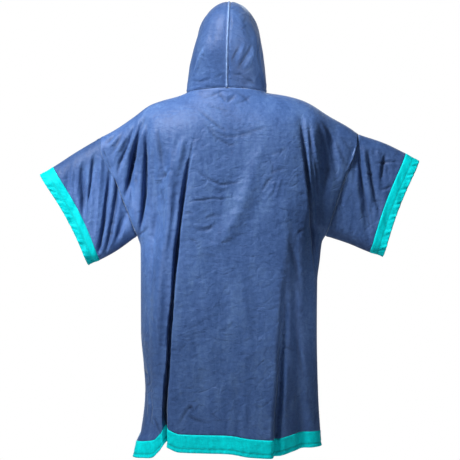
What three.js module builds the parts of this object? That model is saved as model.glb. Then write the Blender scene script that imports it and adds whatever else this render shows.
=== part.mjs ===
// Hooded bath poncho of soft printed microfibre, in the form it has when worn with the arms held out.
// All lengths are millimetres. +X is the wearer's right, +Y the way the wearer faces, +Z is up.
// The origin is the middle of the neck opening, level with the neck ends of the shoulder seams.
// Each sewn piece is a thin closed wall: back, front, two sleeves, two cuff bands, two hem bands
// and the two halves of the hood. Neck, hem, cuffs and face opening are open.
import * as THREE from "three";

// Cloth and sewing
const wall = 2;
const seamGap = 0.3;
const colours = { blue: 0x46659d, teal: 0x08b4b4 };

// Neck opening, an oval that dips at the front
const neck = { middleX: -4, halfWidth: 109, back: 78, front: 88, backRise: 6, frontDrop: 60 };

// Height of the shoulder seams, from the neck out to the tops of the armholes
const leftShoulder = [
  { x: -352, z: -124 },
  { x: -305, z: -98 },
  { x: -258, z: -66 },
  { x: -212, z: -33 },
  { x: -179, z: -21 },
  { x: -135, z: -9 },
  { x: -113, z: 0 },
];
const rightShoulder = [
  { x: 105, z: 0 },
  { x: 157, z: -8 },
  { x: 198, z: -19 },
  { x: 223, z: -30 },
  { x: 275, z: -63 },
  { x: 333, z: -96 },
  { x: 357, z: -114 },
];

// Sleeve sections from armhole to cuff edge: top and lowest point of each ring, and half its depth.
// bow draws the middle of a ring along X, back towards the body
const leftSleeve = [
  { name: "armhole", out: 0, topX: -352, topZ: -124, lowX: -250, lowZ: -393, halfDepth: 52, bow: 0 },
  { name: "middle", out: 0.4, topX: -418, topZ: -163, lowX: -308, lowZ: -435, halfDepth: 50, bow: 4 },
  { name: "cuffSeam", out: 0.78, topX: -480, topZ: -203, lowX: -352, lowZ: -459, halfDepth: 46, bow: 12 },
  { name: "cuffEdge", out: 1, topX: -517, topZ: -224, lowX: -384, lowZ: -473, halfDepth: 47, bow: 12 },
];
const rightSleeve = [
  { name: "armhole", out: 0, topX: 357, topZ: -114, lowX: 267, lowZ: -393, halfDepth: 52, bow: 0 },
  { name: "middle", out: 0.4, topX: 424, topZ: -136, lowX: 330, lowZ: -414, halfDepth: 50, bow: -3 },
  { name: "cuffSeam", out: 0.78, topX: 487, topZ: -166, lowX: 388, lowZ: -438, halfDepth: 46, bow: -8 },
  { name: "cuffEdge", out: 1, topX: 524, topZ: -186, lowX: 425, lowZ: -450, halfDepth: 47, bow: -9 },
];
const sleeveForm = { armShare: 0.17, taper: 0.4, closeShare: 0.12 };

// Side seams below the armholes. Under the slits' top the panels part, and each edge stands off the
// plane of the seam
const leftSide = [
  { z: -995, x: -261 },
  { z: -954, x: -251 },
  { z: -927, x: -239 },
  { z: -817, x: -228 },
  { z: -751, x: -232 },
  { z: -652, x: -240 },
  { z: -426, x: -241 },
  { z: -393, x: -250 },
];
const rightSide = [
  { z: -965, x: 256 },
  { z: -916, x: 252 },
  { z: -817, x: 247 },
  { z: -652, x: 244 },
  { z: -520, x: 245 },
  { z: -459, x: 252 },
  { z: -410, x: 258 },
  { z: -393, x: 267 },
];
const slit = { top: -817, bottom: -990, standOff: 16 };

// Hem lines, left to right
const backHem = [
  { x: -261, z: -995 },
  { x: -228, z: -991 },
  { x: -204, z: -986 },
  { x: -186, z: -970 },
  { x: -167, z: -948 },
  { x: -156, z: -956 },
  { x: -130, z: -966 },
  { x: 0, z: -970 },
  { x: 60, z: -980 },
  { x: 126, z: -984 },
  { x: 150, z: -978 },
  { x: 204, z: -967 },
  { x: 256, z: -965 },
];
const frontHem = [
  { x: -258, z: -976 },
  { x: -200, z: -968 },
  { x: -140, z: -958 },
  { x: 0, z: -966 },
  { x: 140, z: -960 },
  { x: 200, z: -966 },
  { x: 260, z: -962 },
];
const hemSeamLevel = 0.9505;
const underarmLevel = { left: 0.3088, right: 0.3262, row: 0.3175 };

// Sections of the two panels, from shoulder to hem. Tracks give x of the two main folds and of the edges
// of the flat middle between them. Depths give how far the cloth stands off the wearer's middle plane
const backTracks = [
  { level: 0, foldLeft: -137, edgeLeft: -113, edgeRight: 105, foldRight: 130 },
  { level: 0.06, foldLeft: -126, edgeLeft: -107, edgeRight: 110, foldRight: 138 },
  { level: 0.14, foldLeft: -110, edgeLeft: -96, edgeRight: 130, foldRight: 154 },
  { level: 0.24, foldLeft: -108, edgeLeft: -97, edgeRight: 148, foldRight: 166 },
  { level: 0.3175, foldLeft: -118, edgeLeft: -108, edgeRight: 155, foldRight: 170 },
  { level: 0.45, foldLeft: -133, edgeLeft: -123, edgeRight: 152, foldRight: 161 },
  { level: 0.67, foldLeft: -153, edgeLeft: -144, edgeRight: 134, foldRight: 142 },
  { level: 1, foldLeft: -167, edgeLeft: -158, edgeRight: 117, foldRight: 125 },
];
const backDepths = [
  { level: 0, armLeft: 52, lobeLeft: 88, bladeLeft: 92, spine: 88,
    bladeRight: 92, lobeRight: 88, armRight: 52 },
  { level: 0.06, armLeft: 54, lobeLeft: 94, bladeLeft: 104, spine: 100,
    bladeRight: 104, lobeRight: 94, armRight: 54 },
  { level: 0.14, armLeft: 56, lobeLeft: 104, bladeLeft: 118, spine: 112,
    bladeRight: 118, lobeRight: 104, armRight: 56 },
  { level: 0.24, armLeft: 60, lobeLeft: 110, bladeLeft: 125, spine: 120,
    bladeRight: 125, lobeRight: 112, armRight: 60 },
  { level: 0.3175, armLeft: 66, lobeLeft: 112, bladeLeft: 127, spine: 123,
    bladeRight: 127, lobeRight: 114, armRight: 66 },
  { level: 0.45, armLeft: 84, lobeLeft: 112, bladeLeft: 128, spine: 126,
    bladeRight: 127, lobeRight: 108, armRight: 88 },
  { level: 0.67, armLeft: 86, lobeLeft: 110, bladeLeft: 130, spine: 130,
    bladeRight: 126, lobeRight: 98, armRight: 84 },
  { level: 1, armLeft: 78, lobeLeft: 106, bladeLeft: 132, spine: 136,
    bladeRight: 130, lobeRight: 80, armRight: 60 },
];
const frontTracks = [
  { level: 0, foldLeft: -137, edgeLeft: -113, edgeRight: 105, foldRight: 130 },
  { level: 0.1, foldLeft: -150, edgeLeft: -112, edgeRight: 110, foldRight: 150 },
  { level: 0.2, foldLeft: -150, edgeLeft: -112, edgeRight: 110, foldRight: 150 },
  { level: 0.3175, foldLeft: -148, edgeLeft: -112, edgeRight: 110, foldRight: 150 },
  { level: 0.5, foldLeft: -146, edgeLeft: -110, edgeRight: 108, foldRight: 148 },
  { level: 1, foldLeft: -146, edgeLeft: -112, edgeRight: 112, foldRight: 148 },
];
const frontDepths = [
  { level: 0, armLeft: 52, lobeLeft: 80, bladeLeft: 88, spine: 88,
    bladeRight: 88, lobeRight: 80, armRight: 52 },
  { level: 0.1, armLeft: 54, lobeLeft: 92, bladeLeft: 104, spine: 102,
    bladeRight: 104, lobeRight: 92, armRight: 54 },
  { level: 0.2, armLeft: 58, lobeLeft: 100, bladeLeft: 116, spine: 113,
    bladeRight: 116, lobeRight: 100, armRight: 58 },
  { level: 0.3175, armLeft: 66, lobeLeft: 104, bladeLeft: 118, spine: 119,
    bladeRight: 118, lobeRight: 104, armRight: 66 },
  { level: 0.5, armLeft: 88, lobeLeft: 104, bladeLeft: 118, spine: 121,
    bladeRight: 118, lobeRight: 104, armRight: 88 },
  { level: 1, armLeft: 80, lobeLeft: 102, bladeLeft: 120, spine: 127,
    bladeRight: 120, lobeRight: 102, armRight: 80 },
];
const depthShares = {
  armLeft: 0.08, lobeLeft: 0.2, bladeLeft: 0.36, spine: 0.52,
  bladeRight: 0.68, lobeRight: 0.84, armRight: 0.93,
};
const wrap = { arm: 50, shoulder: 105, armX: 290, shoulderX: 190 };
const sideRound = { arm: 42, body: 62 };

// Largest folds, each a trough that runs from its head to its foot. bow bends it sideways at mid-length,
// left and right are the widths of its two slopes, tuck moves its steeper lip over the trough, and the
// fades are shares of its length
const backFolds = [
  { name: "main left", headX: -100, headZ: -180, footX: -166, footZ: -1010, bow: -16,
    headDepth: 16, footDepth: 92, left: 20, right: 6, tuck: 4, headFade: 0.2, footFade: 0 },
  { name: "main right", headX: 164, headZ: -380, footX: 124, footZ: -1010, bow: -6,
    headDepth: 5, footDepth: 48, left: 7, right: 12, tuck: -4, headFade: 0.35, footFade: 0 },
  { name: "right lobe", headX: 168, headZ: -270, footX: 202, footZ: -1010, bow: -3,
    headDepth: 9, footDepth: 22, left: 12, right: 12, tuck: 0, headFade: 0.3, footFade: 0 },
  { name: "lobe valley", headX: -184, headZ: -290, footX: -204, footZ: -1010, bow: 0,
    headDepth: 4, footDepth: 8, left: 10, right: 10, tuck: 0, headFade: 0.3, footFade: 0 },
  { name: "left armpit", headX: -221, headZ: -76, footX: -243, footZ: -430, bow: 7,
    headDepth: 22, footDepth: 15, left: 10, right: 9, tuck: 0, headFade: 0.2, footFade: 0.3 },
  { name: "left drape", headX: -222, headZ: -60, footX: -284, footZ: -320, bow: -6,
    headDepth: 13, footDepth: 17, left: 10, right: 9, tuck: 0, headFade: 0.25, footFade: 0.25 },
  { name: "left drape outer", headX: -250, headZ: -92, footX: -304, footZ: -235, bow: 0,
    headDepth: 8, footDepth: 8, left: 9, right: 8, tuck: 0, headFade: 0.4, footFade: 0.4 },
  { name: "right armpit", headX: 200, headZ: -58, footX: 243, footZ: -450, bow: -3,
    headDepth: 20, footDepth: 17, left: 9, right: 12, tuck: 0, headFade: 0.2, footFade: 0.3 },
  { name: "right drape", headX: 262, headZ: -82, footX: 296, footZ: -270, bow: 8,
    headDepth: 8, footDepth: 6, left: 12, right: 12, tuck: 0, headFade: 0.35, footFade: 0.4 },
  { name: "left lobe", headX: -176, headZ: -105, footX: -186, footZ: -560, bow: 8,
    headDepth: 6, footDepth: 6, left: 11, right: 11, tuck: 0, headFade: 0.3, footFade: 0.5 },
  { name: "left sleeve inner", headX: -318, headZ: -190, footX: -356, footZ: -450, bow: 4,
    headDepth: 9, footDepth: 17, left: 11, right: 9, tuck: 0, headFade: 0.3, footFade: 0.12 },
  { name: "left sleeve outer", headX: -386, headZ: -170, footX: -394, footZ: -360, bow: -4,
    headDepth: 9, footDepth: 9, left: 10, right: 10, tuck: 0, headFade: 0.35, footFade: 0.4 },
  { name: "right sleeve inner", headX: 352, headZ: -140, footX: 388, footZ: -400, bow: -3,
    headDepth: 10, footDepth: 11, left: 10, right: 11, tuck: 0, headFade: 0.3, footFade: 0.3 },
  { name: "right sleeve outer", headX: 380, headZ: -150, footX: 416, footZ: -360, bow: -2,
    headDepth: 9, footDepth: 8, left: 10, right: 10, tuck: 0, headFade: 0.3, footFade: 0.4 },
];
const frontFolds = [
  { name: "main left", headX: -128, headZ: -200, footX: -152, footZ: -1010, bow: -6,
    headDepth: 10, footDepth: 56, left: 26, right: 14, tuck: 0, headFade: 0.35, footFade: 0 },
  { name: "main right", headX: 122, headZ: -210, footX: 148, footZ: -1010, bow: 6,
    headDepth: 10, footDepth: 52, left: 14, right: 26, tuck: 0, headFade: 0.35, footFade: 0 },
  { name: "left armpit", headX: -214, headZ: -66, footX: -232, footZ: -450, bow: 6,
    headDepth: 18, footDepth: 16, left: 13, right: 13, tuck: 0, headFade: 0.25, footFade: 0.35 },
  { name: "right armpit", headX: 206, headZ: -64, footX: 240, footZ: -450, bow: -4,
    headDepth: 18, footDepth: 16, left: 13, right: 13, tuck: 0, headFade: 0.25, footFade: 0.35 },
  { name: "left drape", headX: -250, headZ: -80, footX: -292, footZ: -330, bow: -8,
    headDepth: 10, footDepth: 11, left: 11, right: 11, tuck: 0, headFade: 0.35, footFade: 0.3 },
  { name: "right drape", headX: 250, headZ: -80, footX: 300, footZ: -320, bow: 8,
    headDepth: 10, footDepth: 10, left: 11, right: 11, tuck: 0, headFade: 0.35, footFade: 0.3 },
  { name: "left sleeve", headX: -368, headZ: -170, footX: -362, footZ: -440, bow: -5,
    headDepth: 10, footDepth: 12, left: 12, right: 12, tuck: 0, headFade: 0.35, footFade: 0.2 },
  { name: "right sleeve", headX: 372, headZ: -150, footX: 372, footZ: -405, bow: 5,
    headDepth: 10, footDepth: 11, left: 12, right: 12, tuck: 0, headFade: 0.35, footFade: 0.25 },
  { name: "middle", headX: 34, headZ: -420, footX: 46, footZ: -1010, bow: 5,
    headDepth: 2, footDepth: 14, left: 26, right: 22, tuck: 0, headFade: 0.5, footFade: 0 },
];
const leastHalfDepth = 7;

// Arches of one half of the hood, from the neck seam over the crown to the brow. Each leaves the centre
// seam sideways at back (y, z) and ends on the front edge at face (x, y, z). pull and end are its curve's
// two handles, and lean moves the arch of both halves along X
const hoodArches = [
  { name: "neck", turn: 0, backY: -78, backZ: 6, pull: 146, lean: neck.middleX,
    faceX: 2, faceY: 88, faceZ: -60, endX: 144, endY: 2, endZ: 2 },
  { name: "nape", turn: 0.17, backY: -92, backZ: 56, pull: 133, lean: -4,
    faceX: 58, faceY: 100, faceZ: -22, endX: 78, endY: -8, endZ: 6 },
  { name: "occiput", turn: 0.34, backY: -106, backZ: 118, pull: 118, lean: -3,
    faceX: 80, faceY: 104, faceZ: 18, endX: 42, endY: -34, endZ: 30 },
  { name: "crown back", turn: 0.52, backY: -98, backZ: 184, pull: 92, lean: 0,
    faceX: 88, faceY: 104, faceZ: 52, endX: 22, endY: -54, endZ: 62 },
  { name: "crown", turn: 0.7, backY: -56, backZ: 232, pull: 66, lean: 2,
    faceX: 90, faceY: 101, faceZ: 84, endX: 12, endY: -54, endZ: 88 },
  { name: "top", turn: 0.86, backY: 8, backZ: 251, pull: 52, lean: 3,
    faceX: 88, faceY: 96, faceZ: 112, endX: 8, endY: -40, endZ: 90 },
  { name: "brow", turn: 1, backY: 74, backZ: 238, pull: 50, lean: 3,
    faceX: 82, faceY: 90, faceZ: 138, endX: 8, endY: -20, endZ: 76 },
];

// Divisions of the pieces' grids. Pieces that are sewn together share the points of their seam
const grid = {
  sideToFold: 14,
  foldToEdge: 2,
  neckHalf: 8,
  edgeToFold: 2,
  foldToSide: 12,
  armholeRows: 12,
  bodyRows: 12,
  hemRows: 2,
  sleeveRows: 7,
  cuffRows: 2,
  hoodRows: 16,
};
const edgeLeftColumn = grid.sideToFold + grid.foldToEdge;
const edgeRightColumn = edgeLeftColumn + 2 * grid.neckHalf;
const panelColumns = edgeRightColumn + grid.edgeToFold + grid.foldToSide;
const shares = {
  foldLeft: grid.sideToFold / panelColumns,
  edgeLeft: edgeLeftColumn / panelColumns,
  edgeRight: edgeRightColumn / panelColumns,
  foldRight: (edgeRightColumn + grid.edgeToFold) / panelColumns,
};

const clamp01 = (v) => Math.min(1, Math.max(0, v));
const lerp = (a, b, t) => a + (b - a) * t;
const smooth = (low, high, v) => {
  const t = clamp01((v - low) / (high - low));
  return t * t * (3 - 2 * t);
};
const quarterRound = (v) => Math.sqrt(1 - (1 - clamp01(v)) ** 2);

// A smooth curve through one column of a table, with no overshoot between its rows
function curve(rows, at, column) {
  const x = rows.map((r) => r[at]);
  const y = rows.map((r) => r[column]);
  const slope = x.slice(1).map((v, i) => (y[i + 1] - y[i]) / (v - x[i]));
  const tangent = x.map((_, i) => {
    if (i === 0) return slope[0];
    if (i === slope.length) return slope[i - 1];
    const [a, b] = [slope[i - 1], slope[i]];
    return a * b <= 0 ? 0 : (2 * a * b) / (a + b);
  });
  return (v) => {
    let i = 0;
    while (i < slope.length - 1 && v > x[i + 1]) i += 1;
    const width = x[i + 1] - x[i];
    const t = clamp01((v - x[i]) / width);
    const t2 = t * t;
    const t3 = t2 * t;
    return (
      (2 * t3 - 3 * t2 + 1) * y[i] +
      (t3 - 2 * t2 + t) * width * tangent[i] +
      (3 * t2 - 2 * t3) * y[i + 1] +
      (t3 - t2) * width * tangent[i + 1]
    );
  };
}

const curvesOf = (rows, at) =>
  Object.fromEntries(
    Object.keys(rows[0])
      .filter((column) => column !== at && column !== "name")
      .map((column) => [column, curve(rows, at, column)]),
  );

// How far the folds of one side push the cloth in, and sideways, at a place seen from behind or in front
function foldsAt(folds, x, z) {
  let inward = 0;
  let sideways = 0;
  for (const fold of folds) {
    const dx = fold.footX - fold.headX;
    const dz = fold.footZ - fold.headZ;
    const length = Math.hypot(dx, dz);
    const [rightX, rightZ] = [-dz / length, dx / length];
    const t = ((x - fold.headX) * dx + (z - fold.headZ) * dz) / (length * length);
    if (t <= 0 || t > 1) continue;
    const bent = fold.bow * 4 * t * (1 - t);
    const off = (x - fold.headX) * rightX + (z - fold.headZ) * rightZ - bent;
    const strength = smooth(0, fold.headFade, t) * (fold.footFade ? smooth(0, fold.footFade, 1 - t) : 1);
    const depth = lerp(fold.headDepth, fold.footDepth, t) * strength;
    const width = off < 0 ? fold.left : fold.right;
    inward += depth * Math.exp(-((off / width) ** 2));
    const lip = Math.abs(fold.tuck);
    if (lip > 0) {
      const lipWidth = fold.tuck > 0 ? fold.right : fold.left;
      const lipAt = Math.sign(fold.tuck) * 1.5 * lipWidth;
      sideways -= fold.tuck * strength * t * Math.exp(-(((off - lipAt) / (1.3 * lipWidth)) ** 2));
      sideways += 0.5 * fold.tuck * strength * t * Math.exp(-((off / lipWidth) ** 2));
    }
  }
  return { inward, sideways };
}

// The neck opening: turn 0 is the middle of the back, 0.5 the right side and 1 the middle of the front
function neckPoint(side, turn) {
  const angle = Math.PI * turn;
  const forward = -Math.cos(angle);
  const y = forward * (forward < 0 ? neck.back : neck.front);
  const z = forward < 0 ? neck.backRise * forward ** 2 : -neck.frontDrop * forward ** 1.5;
  return new THREE.Vector3(neck.middleX + side * neck.halfWidth * Math.sin(angle), y, z);
}

// Sleeves. A ring of a sleeve lies near the plane of its top and lowest points and the Y axis
const sleeves = [
  { name: "left", side: -1, sections: leftSleeve, at: curvesOf(leftSleeve, "out") },
  { name: "right", side: 1, sections: rightSleeve, at: curvesOf(rightSleeve, "out") },
];

function sleevePoint(sleeve, out, down, face) {
  const { at } = sleeve;
  const x = lerp(at.topX(out), at.lowX(out), down) + at.bow(out) * Math.sin(Math.PI * down);
  const z = lerp(at.topZ(out), at.lowZ(out), down);
  const { armShare, taper, closeShare } = sleeveForm;
  const closing = quarterRound(down / armShare) * quarterRound((1 - down) / closeShare);
  const plain = at.halfDepth(out) * (1 - taper * down);
  const folds = foldsAt(face < 0 ? backFolds : frontFolds, x, z);
  const depth = Math.max(leastHalfDepth, plain - folds.inward) * closing;
  return new THREE.Vector3(x, face * depth, z);
}

// Unit vector to the inside of a sleeve's ring, in the plane of the ring
function sleeveInward(sleeve, out, down, face) {
  const { at } = sleeve;
  const along = new THREE.Vector3(at.lowX(out) - at.topX(out), 0, at.lowZ(out) - at.topZ(out)).normalize();
  if (down <= 0) return along;
  if (down >= 1) return along.negate();
  const step = Math.min(0.004, down / 2, (1 - down) / 2);
  const before = sleevePoint(sleeve, out, down - step, face);
  const tangent = sleevePoint(sleeve, out, down + step, face).sub(before);
  const slope = tangent.dot(along);
  return along.multiplyScalar(face * tangent.y).add(new THREE.Vector3(0, -face * slope, 0)).normalize();
}

// Body panels
const leftShoulderZ = curve(leftShoulder, "x", "z");
const rightShoulderZ = curve(rightShoulder, "x", "z");
const leftSideX = curve(leftSide, "z", "x");
const rightSideX = curve(rightSide, "z", "x");

const panels = {
  back: {
    face: -1,
    track: curvesOf(backTracks, "level"),
    depth: curvesOf(backDepths, "level"),
    hem: curve(backHem, "x", "z"),
    hemEnds: [backHem[0], backHem.at(-1)],
    folds: backFolds,
  },
  front: {
    face: 1,
    track: curvesOf(frontTracks, "level"),
    depth: curvesOf(frontDepths, "level"),
    hem: curve(frontHem, "x", "z"),
    hemEnds: [frontHem[0], frontHem.at(-1)],
    folds: frontFolds,
  },
};

// Piecewise straight spread of the columns between the edges and the two fold lines
function spread(stops, share) {
  let i = 0;
  while (i < stops.length - 2 && share > stops[i + 1][0]) i += 1;
  const [[s0, x0], [s1, x1]] = [stops[i], stops[i + 1]];
  return lerp(x0, x1, (share - s0) / (s1 - s0));
}

// x of a column at a level, between the edges and the two fold lines
function columnX(panel, share, level, leftX, rightX) {
  const inner = ["foldLeft", "edgeLeft", "edgeRight", "foldRight"];
  const stops = inner.map((name) => [shares[name], panel.track[name](level)]);
  return spread([[0, leftX], ...stops, [1, rightX]], share);
}

// The panel's top edge: shoulder seam, half the neck opening, shoulder seam
function topPoint(panel, share) {
  if (share <= shares.edgeLeft || share >= shares.edgeRight) {
    const x = columnX(panel, share, 0, leftShoulder[0].x, rightShoulder.at(-1).x);
    return new THREE.Vector3(x, 0, share < 0.5 ? leftShoulderZ(x) : rightShoulderZ(x));
  }
  const fromMiddle = Math.abs((share - shares.edgeLeft) / (shares.edgeRight - shares.edgeLeft) - 0.5);
  const side = share < (shares.edgeLeft + shares.edgeRight) / 2 ? -1 : 1;
  return neckPoint(side, panel.face < 0 ? fromMiddle : 1 - fromMiddle);
}

function sideEdge(panel, side, level) {
  const sleeve = sleeves[side < 0 ? 0 : 1].sections[0];
  const hemEnd = panel.hemEnds[side < 0 ? 0 : 1];
  const underarm = side < 0 ? underarmLevel.left : underarmLevel.right;
  if (level <= underarm) {
    const down = level / underarm;
    return sleevePoint(sleeves[side < 0 ? 0 : 1], 0, down, panel.face);
  }
  const z = lerp(sleeve.lowZ, hemEnd.z, (level - underarm) / (1 - underarm));
  const x = side < 0 ? leftSideX(z) : rightSideX(z);
  const y = panel.face * slit.standOff * smooth(0, 1, (slit.top - z) / (slit.top - slit.bottom));
  return new THREE.Vector3(x, y, z);
}

// Rows tilt a little so that one of them ends at both underarms
function levelAt(share, row) {
  const { left, right, row: middle } = underarmLevel;
  const hat = row < middle ? row / middle : (1 - row) / (1 - middle);
  return row + (lerp(left, right, share) - middle) * hat;
}

function panelPoint(panel, share, row) {
  const level = levelAt(share, row);
  const { depth, face } = panel;
  const top = topPoint(panel, share);
  const leftEdge = sideEdge(panel, -1, level);
  const rightEdge = sideEdge(panel, 1, level);
  const below = columnX(panel, share, level, leftEdge.x, rightEdge.x);
  const x = lerp(top.x, below, share === 0 || share === 1 ? 1 : smooth(0, 0.16, level));
  const edgeZ = share < 0.5 ? leftEdge.z : rightEdge.z;
  const hemZ = panel.hem(columnX(panel, share, 1, panel.hemEnds[0].x, panel.hemEnds[1].x));
  const hung = lerp(top.z, hemZ, level);
  const straight = lerp(topPoint(panel, share < 0.5 ? 0 : 1).z, panel.hemEnds[share < 0.5 ? 0 : 1].z, level);
  const z = hung + (edgeZ - straight) * (1 - smooth(0, 0.25, Math.min(share, 1 - share)));

  const depths = Object.keys(depthShares).map((name) => [depthShares[name], depth[name](level)]);
  const depthStops = [[0, depths[0][1]], ...depths, [1, depths.at(-1)[1]]];
  const stopRows = depthStops.map(([s, d]) => ({ s, d }));
  const plain = curve(stopRows, "s", "d")(share);
  const folds = foldsAt(panel.folds, x, z);
  const deep = face * Math.max(leastHalfDepth, plain - folds.inward);

  const drop = Math.max(0, top.z - z);
  const wrapDrop = lerp(wrap.shoulder, wrap.arm, smooth(wrap.shoulderX, wrap.armX, Math.abs(x)));
  const neckShare = clamp01((share - shares.edgeLeft) / (shares.edgeRight - shares.edgeLeft));
  const neckness = Math.sin(Math.PI * neckShare);
  const fromNeck = Math.sin((Math.PI / 2) * clamp01(drop / wrap.shoulder));
  const over = lerp(quarterRound(drop / wrapDrop), fromNeck, neckness);
  const edge = share < 0.5 ? leftEdge : rightEdge;
  const fromEdge = Math.abs(x - edge.x);
  const roundWidth = lerp(sideRound.arm, sideRound.body, smooth(0.2, 0.36, level));
  const round = quarterRound(fromEdge / roundWidth);
  const y = deep * over * round + top.y * (1 - over) + edge.y * (1 - round);
  const away = over * round;
  return new THREE.Vector3(x + folds.sideways * away, y, z);
}

// Unit vector to the inside of a panel: seams keep to their own plane, the rest follows the surface
function panelInward(panel, share, row) {
  const level = levelAt(share, row);
  const onSide = share <= 0 || share >= 1;
  const side = share < 0.5 ? -1 : 1;
  const underarm = side < 0 ? underarmLevel.left : underarmLevel.right;
  if (onSide && level <= underarm + 1e-6) {
    return sleeveInward(sleeves[side < 0 ? 0 : 1], 0, level / underarm, panel.face);
  }
  const step = 0.002;
  if (onSide) {
    const above = sideEdge(panel, side, level - step);
    const tangent = sideEdge(panel, side, Math.min(1, level + step)).sub(above);
    return new THREE.Vector3(tangent.z * side, 0, -tangent.x * side).normalize();
  }
  const onShoulder = row <= 0 && (share <= shares.edgeLeft || share >= shares.edgeRight);
  if (onShoulder) {
    const within = side < 0 ? [0, shares.edgeLeft] : [shares.edgeRight, 1];
    const before = topPoint(panel, Math.max(within[0], share - step));
    const tangent = topPoint(panel, Math.min(within[1], share + step)).sub(before);
    return new THREE.Vector3(tangent.z, 0, -tangent.x).normalize();
  }
  const across = panelPoint(panel, share + step, row).sub(panelPoint(panel, share - step, row));
  const above = panelPoint(panel, share, Math.max(0, row - step));
  const down = panelPoint(panel, share, Math.min(1, row + step)).sub(above);
  return across.cross(down).normalize().multiplyScalar(-panel.face);
}

// Hood
const archAt = curvesOf(hoodArches, "turn");

function hoodPoint(side, along, turn) {
  const bezier = (t) => {
    const back = new THREE.Vector3(0, archAt.backY(t), archAt.backZ(t));
    const face = new THREE.Vector3(archAt.faceX(t), archAt.faceY(t), archAt.faceZ(t));
    const near = back.clone().add(new THREE.Vector3(archAt.pull(t), 0, 0));
    const far = face.clone().add(new THREE.Vector3(archAt.endX(t), archAt.endY(t), archAt.endZ(t)));
    const u = 1 - along;
    return back.multiplyScalar(u ** 3)
      .add(near.multiplyScalar(3 * u * u * along))
      .add(far.multiplyScalar(3 * u * along * along))
      .add(face.multiplyScalar(along ** 3));
  };
  const point = bezier(turn);
  const atNeck = neckPoint(1, along).sub(new THREE.Vector3(neck.middleX, 0, 0));
  point.add(atNeck.sub(bezier(0)).multiplyScalar(1 - smooth(0, 0.3, turn)));
  point.x = point.x * side + archAt.lean(turn);
  return point;
}

function hoodInward(side, along, turn) {
  const step = 0.002;
  const low = Math.max(0, along - step);
  const across = hoodPoint(side, Math.min(1, along + step), turn).sub(hoodPoint(side, low, turn));
  const below = hoodPoint(side, along, Math.max(0, turn - step));
  const up = hoodPoint(side, along, Math.min(1, turn + step)).sub(below);
  const inward = across.cross(up).multiplyScalar(-side);
  if (along === 0) inward.x = 0;
  return inward.normalize();
}

function signedVolume(geometry) {
  const { array } = geometry.getAttribute("position");
  const index = geometry.getIndex().array;
  const corner = (k) => new THREE.Vector3().fromArray(array, 3 * index[k]);
  let volume = 0;
  for (let k = 0; k < index.length; k += 3) {
    volume += corner(k).dot(corner(k + 1).cross(corner(k + 2))) / 6;
  }
  return volume;
}

// A closed wall of cloth. outer(i, j) and inward(i, j) give a grid of points and unit vectors. ring says
// that the columns close on themselves. Each sewn rim is drawn back by half the seam gap
function clothWall({ columns, rows, ring = false, outer, inward, trim }) {
  const across = ring ? columns : columns + 1;
  const down = rows + 1;
  const points = [];
  for (let j = 0; j < down; j += 1) {
    for (let i = 0; i < across; i += 1) points.push(outer(i, j));
  }
  const at = (i, j) => points[j * across + (ring ? (i + columns) % columns : i)];
  const shifts = points.map(() => new THREE.Vector3());
  const draw = (i, j, ni, nj) => {
    const way = at(ni, nj).clone().sub(at(i, j));
    shifts[j * across + i].add(way.normalize().multiplyScalar(seamGap / 2));
  };
  for (let i = 0; i < across; i += 1) {
    if (trim.first) draw(i, 0, i, 1);
    if (trim.last) draw(i, rows, i, rows - 1);
  }
  for (let j = 0; j < down && !ring; j += 1) {
    if (trim.left) draw(0, j, 1, j);
    if (trim.right) draw(columns, j, columns - 1, j);
  }
  const positions = [];
  const inner = [];
  for (let j = 0; j < down; j += 1) {
    for (let i = 0; i < across; i += 1) {
      const point = at(i, j).clone().add(shifts[j * across + i]);
      positions.push(point.x, point.y, point.z);
      const set = point.add(inward(i, j).multiplyScalar(wall));
      inner.push(set.x, set.y, set.z);
    }
  }
  const count = points.length;
  const index = [];
  const quad = (a, b, c, d) => index.push(a, b, c, a, c, d);
  const outerAt = (i, j) => j * across + (ring ? i % columns : i);
  const innerAt = (i, j) => count + outerAt(i, j);
  for (let j = 0; j < rows; j += 1) {
    for (let i = 0; i < columns; i += 1) {
      quad(outerAt(i, j), outerAt(i, j + 1), outerAt(i + 1, j + 1), outerAt(i + 1, j));
      quad(innerAt(i, j), innerAt(i + 1, j), innerAt(i + 1, j + 1), innerAt(i, j + 1));
    }
  }
  for (let i = 0; i < columns; i += 1) {
    quad(outerAt(i, 0), outerAt(i + 1, 0), innerAt(i + 1, 0), innerAt(i, 0));
    quad(outerAt(i, rows), innerAt(i, rows), innerAt(i + 1, rows), outerAt(i + 1, rows));
  }
  for (let j = 0; j < rows && !ring; j += 1) {
    quad(outerAt(0, j), innerAt(0, j), innerAt(0, j + 1), outerAt(0, j + 1));
    quad(outerAt(columns, j), outerAt(columns, j + 1), innerAt(columns, j + 1), innerAt(columns, j));
  }
  const geometry = new THREE.BufferGeometry();
  geometry.setAttribute("position", new THREE.Float32BufferAttribute([...positions, ...inner], 3));
  geometry.setIndex(index);
  if (signedVolume(geometry) < 0) {
    for (let k = 0; k < index.length; k += 3) [index[k + 1], index[k + 2]] = [index[k + 2], index[k + 1]];
    geometry.setIndex(index);
  }
  geometry.computeVertexNormals();
  return geometry;
}

const cloth = (colour) => new THREE.MeshStandardMaterial({ color: colour, roughness: 0.85, metalness: 0 });
const blueCloth = cloth(colours.blue);
const tealCloth = cloth(colours.teal);
const poncho = new THREE.Group();

function addPiece(name, geometry, material) {
  const mesh = new THREE.Mesh(geometry, material);
  mesh.name = name;
  poncho.add(mesh);
}

// Rows and ring points crowd together at the shoulder seam and at the underarm
const armholeShare = (j) => (1 - Math.cos((Math.PI * j) / grid.armholeRows)) / 2;
const rowAt = (j) => (j <= grid.armholeRows
  ? underarmLevel.row * armholeShare(j)
  : lerp(underarmLevel.row, hemSeamLevel, (j - grid.armholeRows) / grid.bodyRows));
const bandRowAt = (j) => lerp(hemSeamLevel, 1, j / grid.hemRows);

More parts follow.
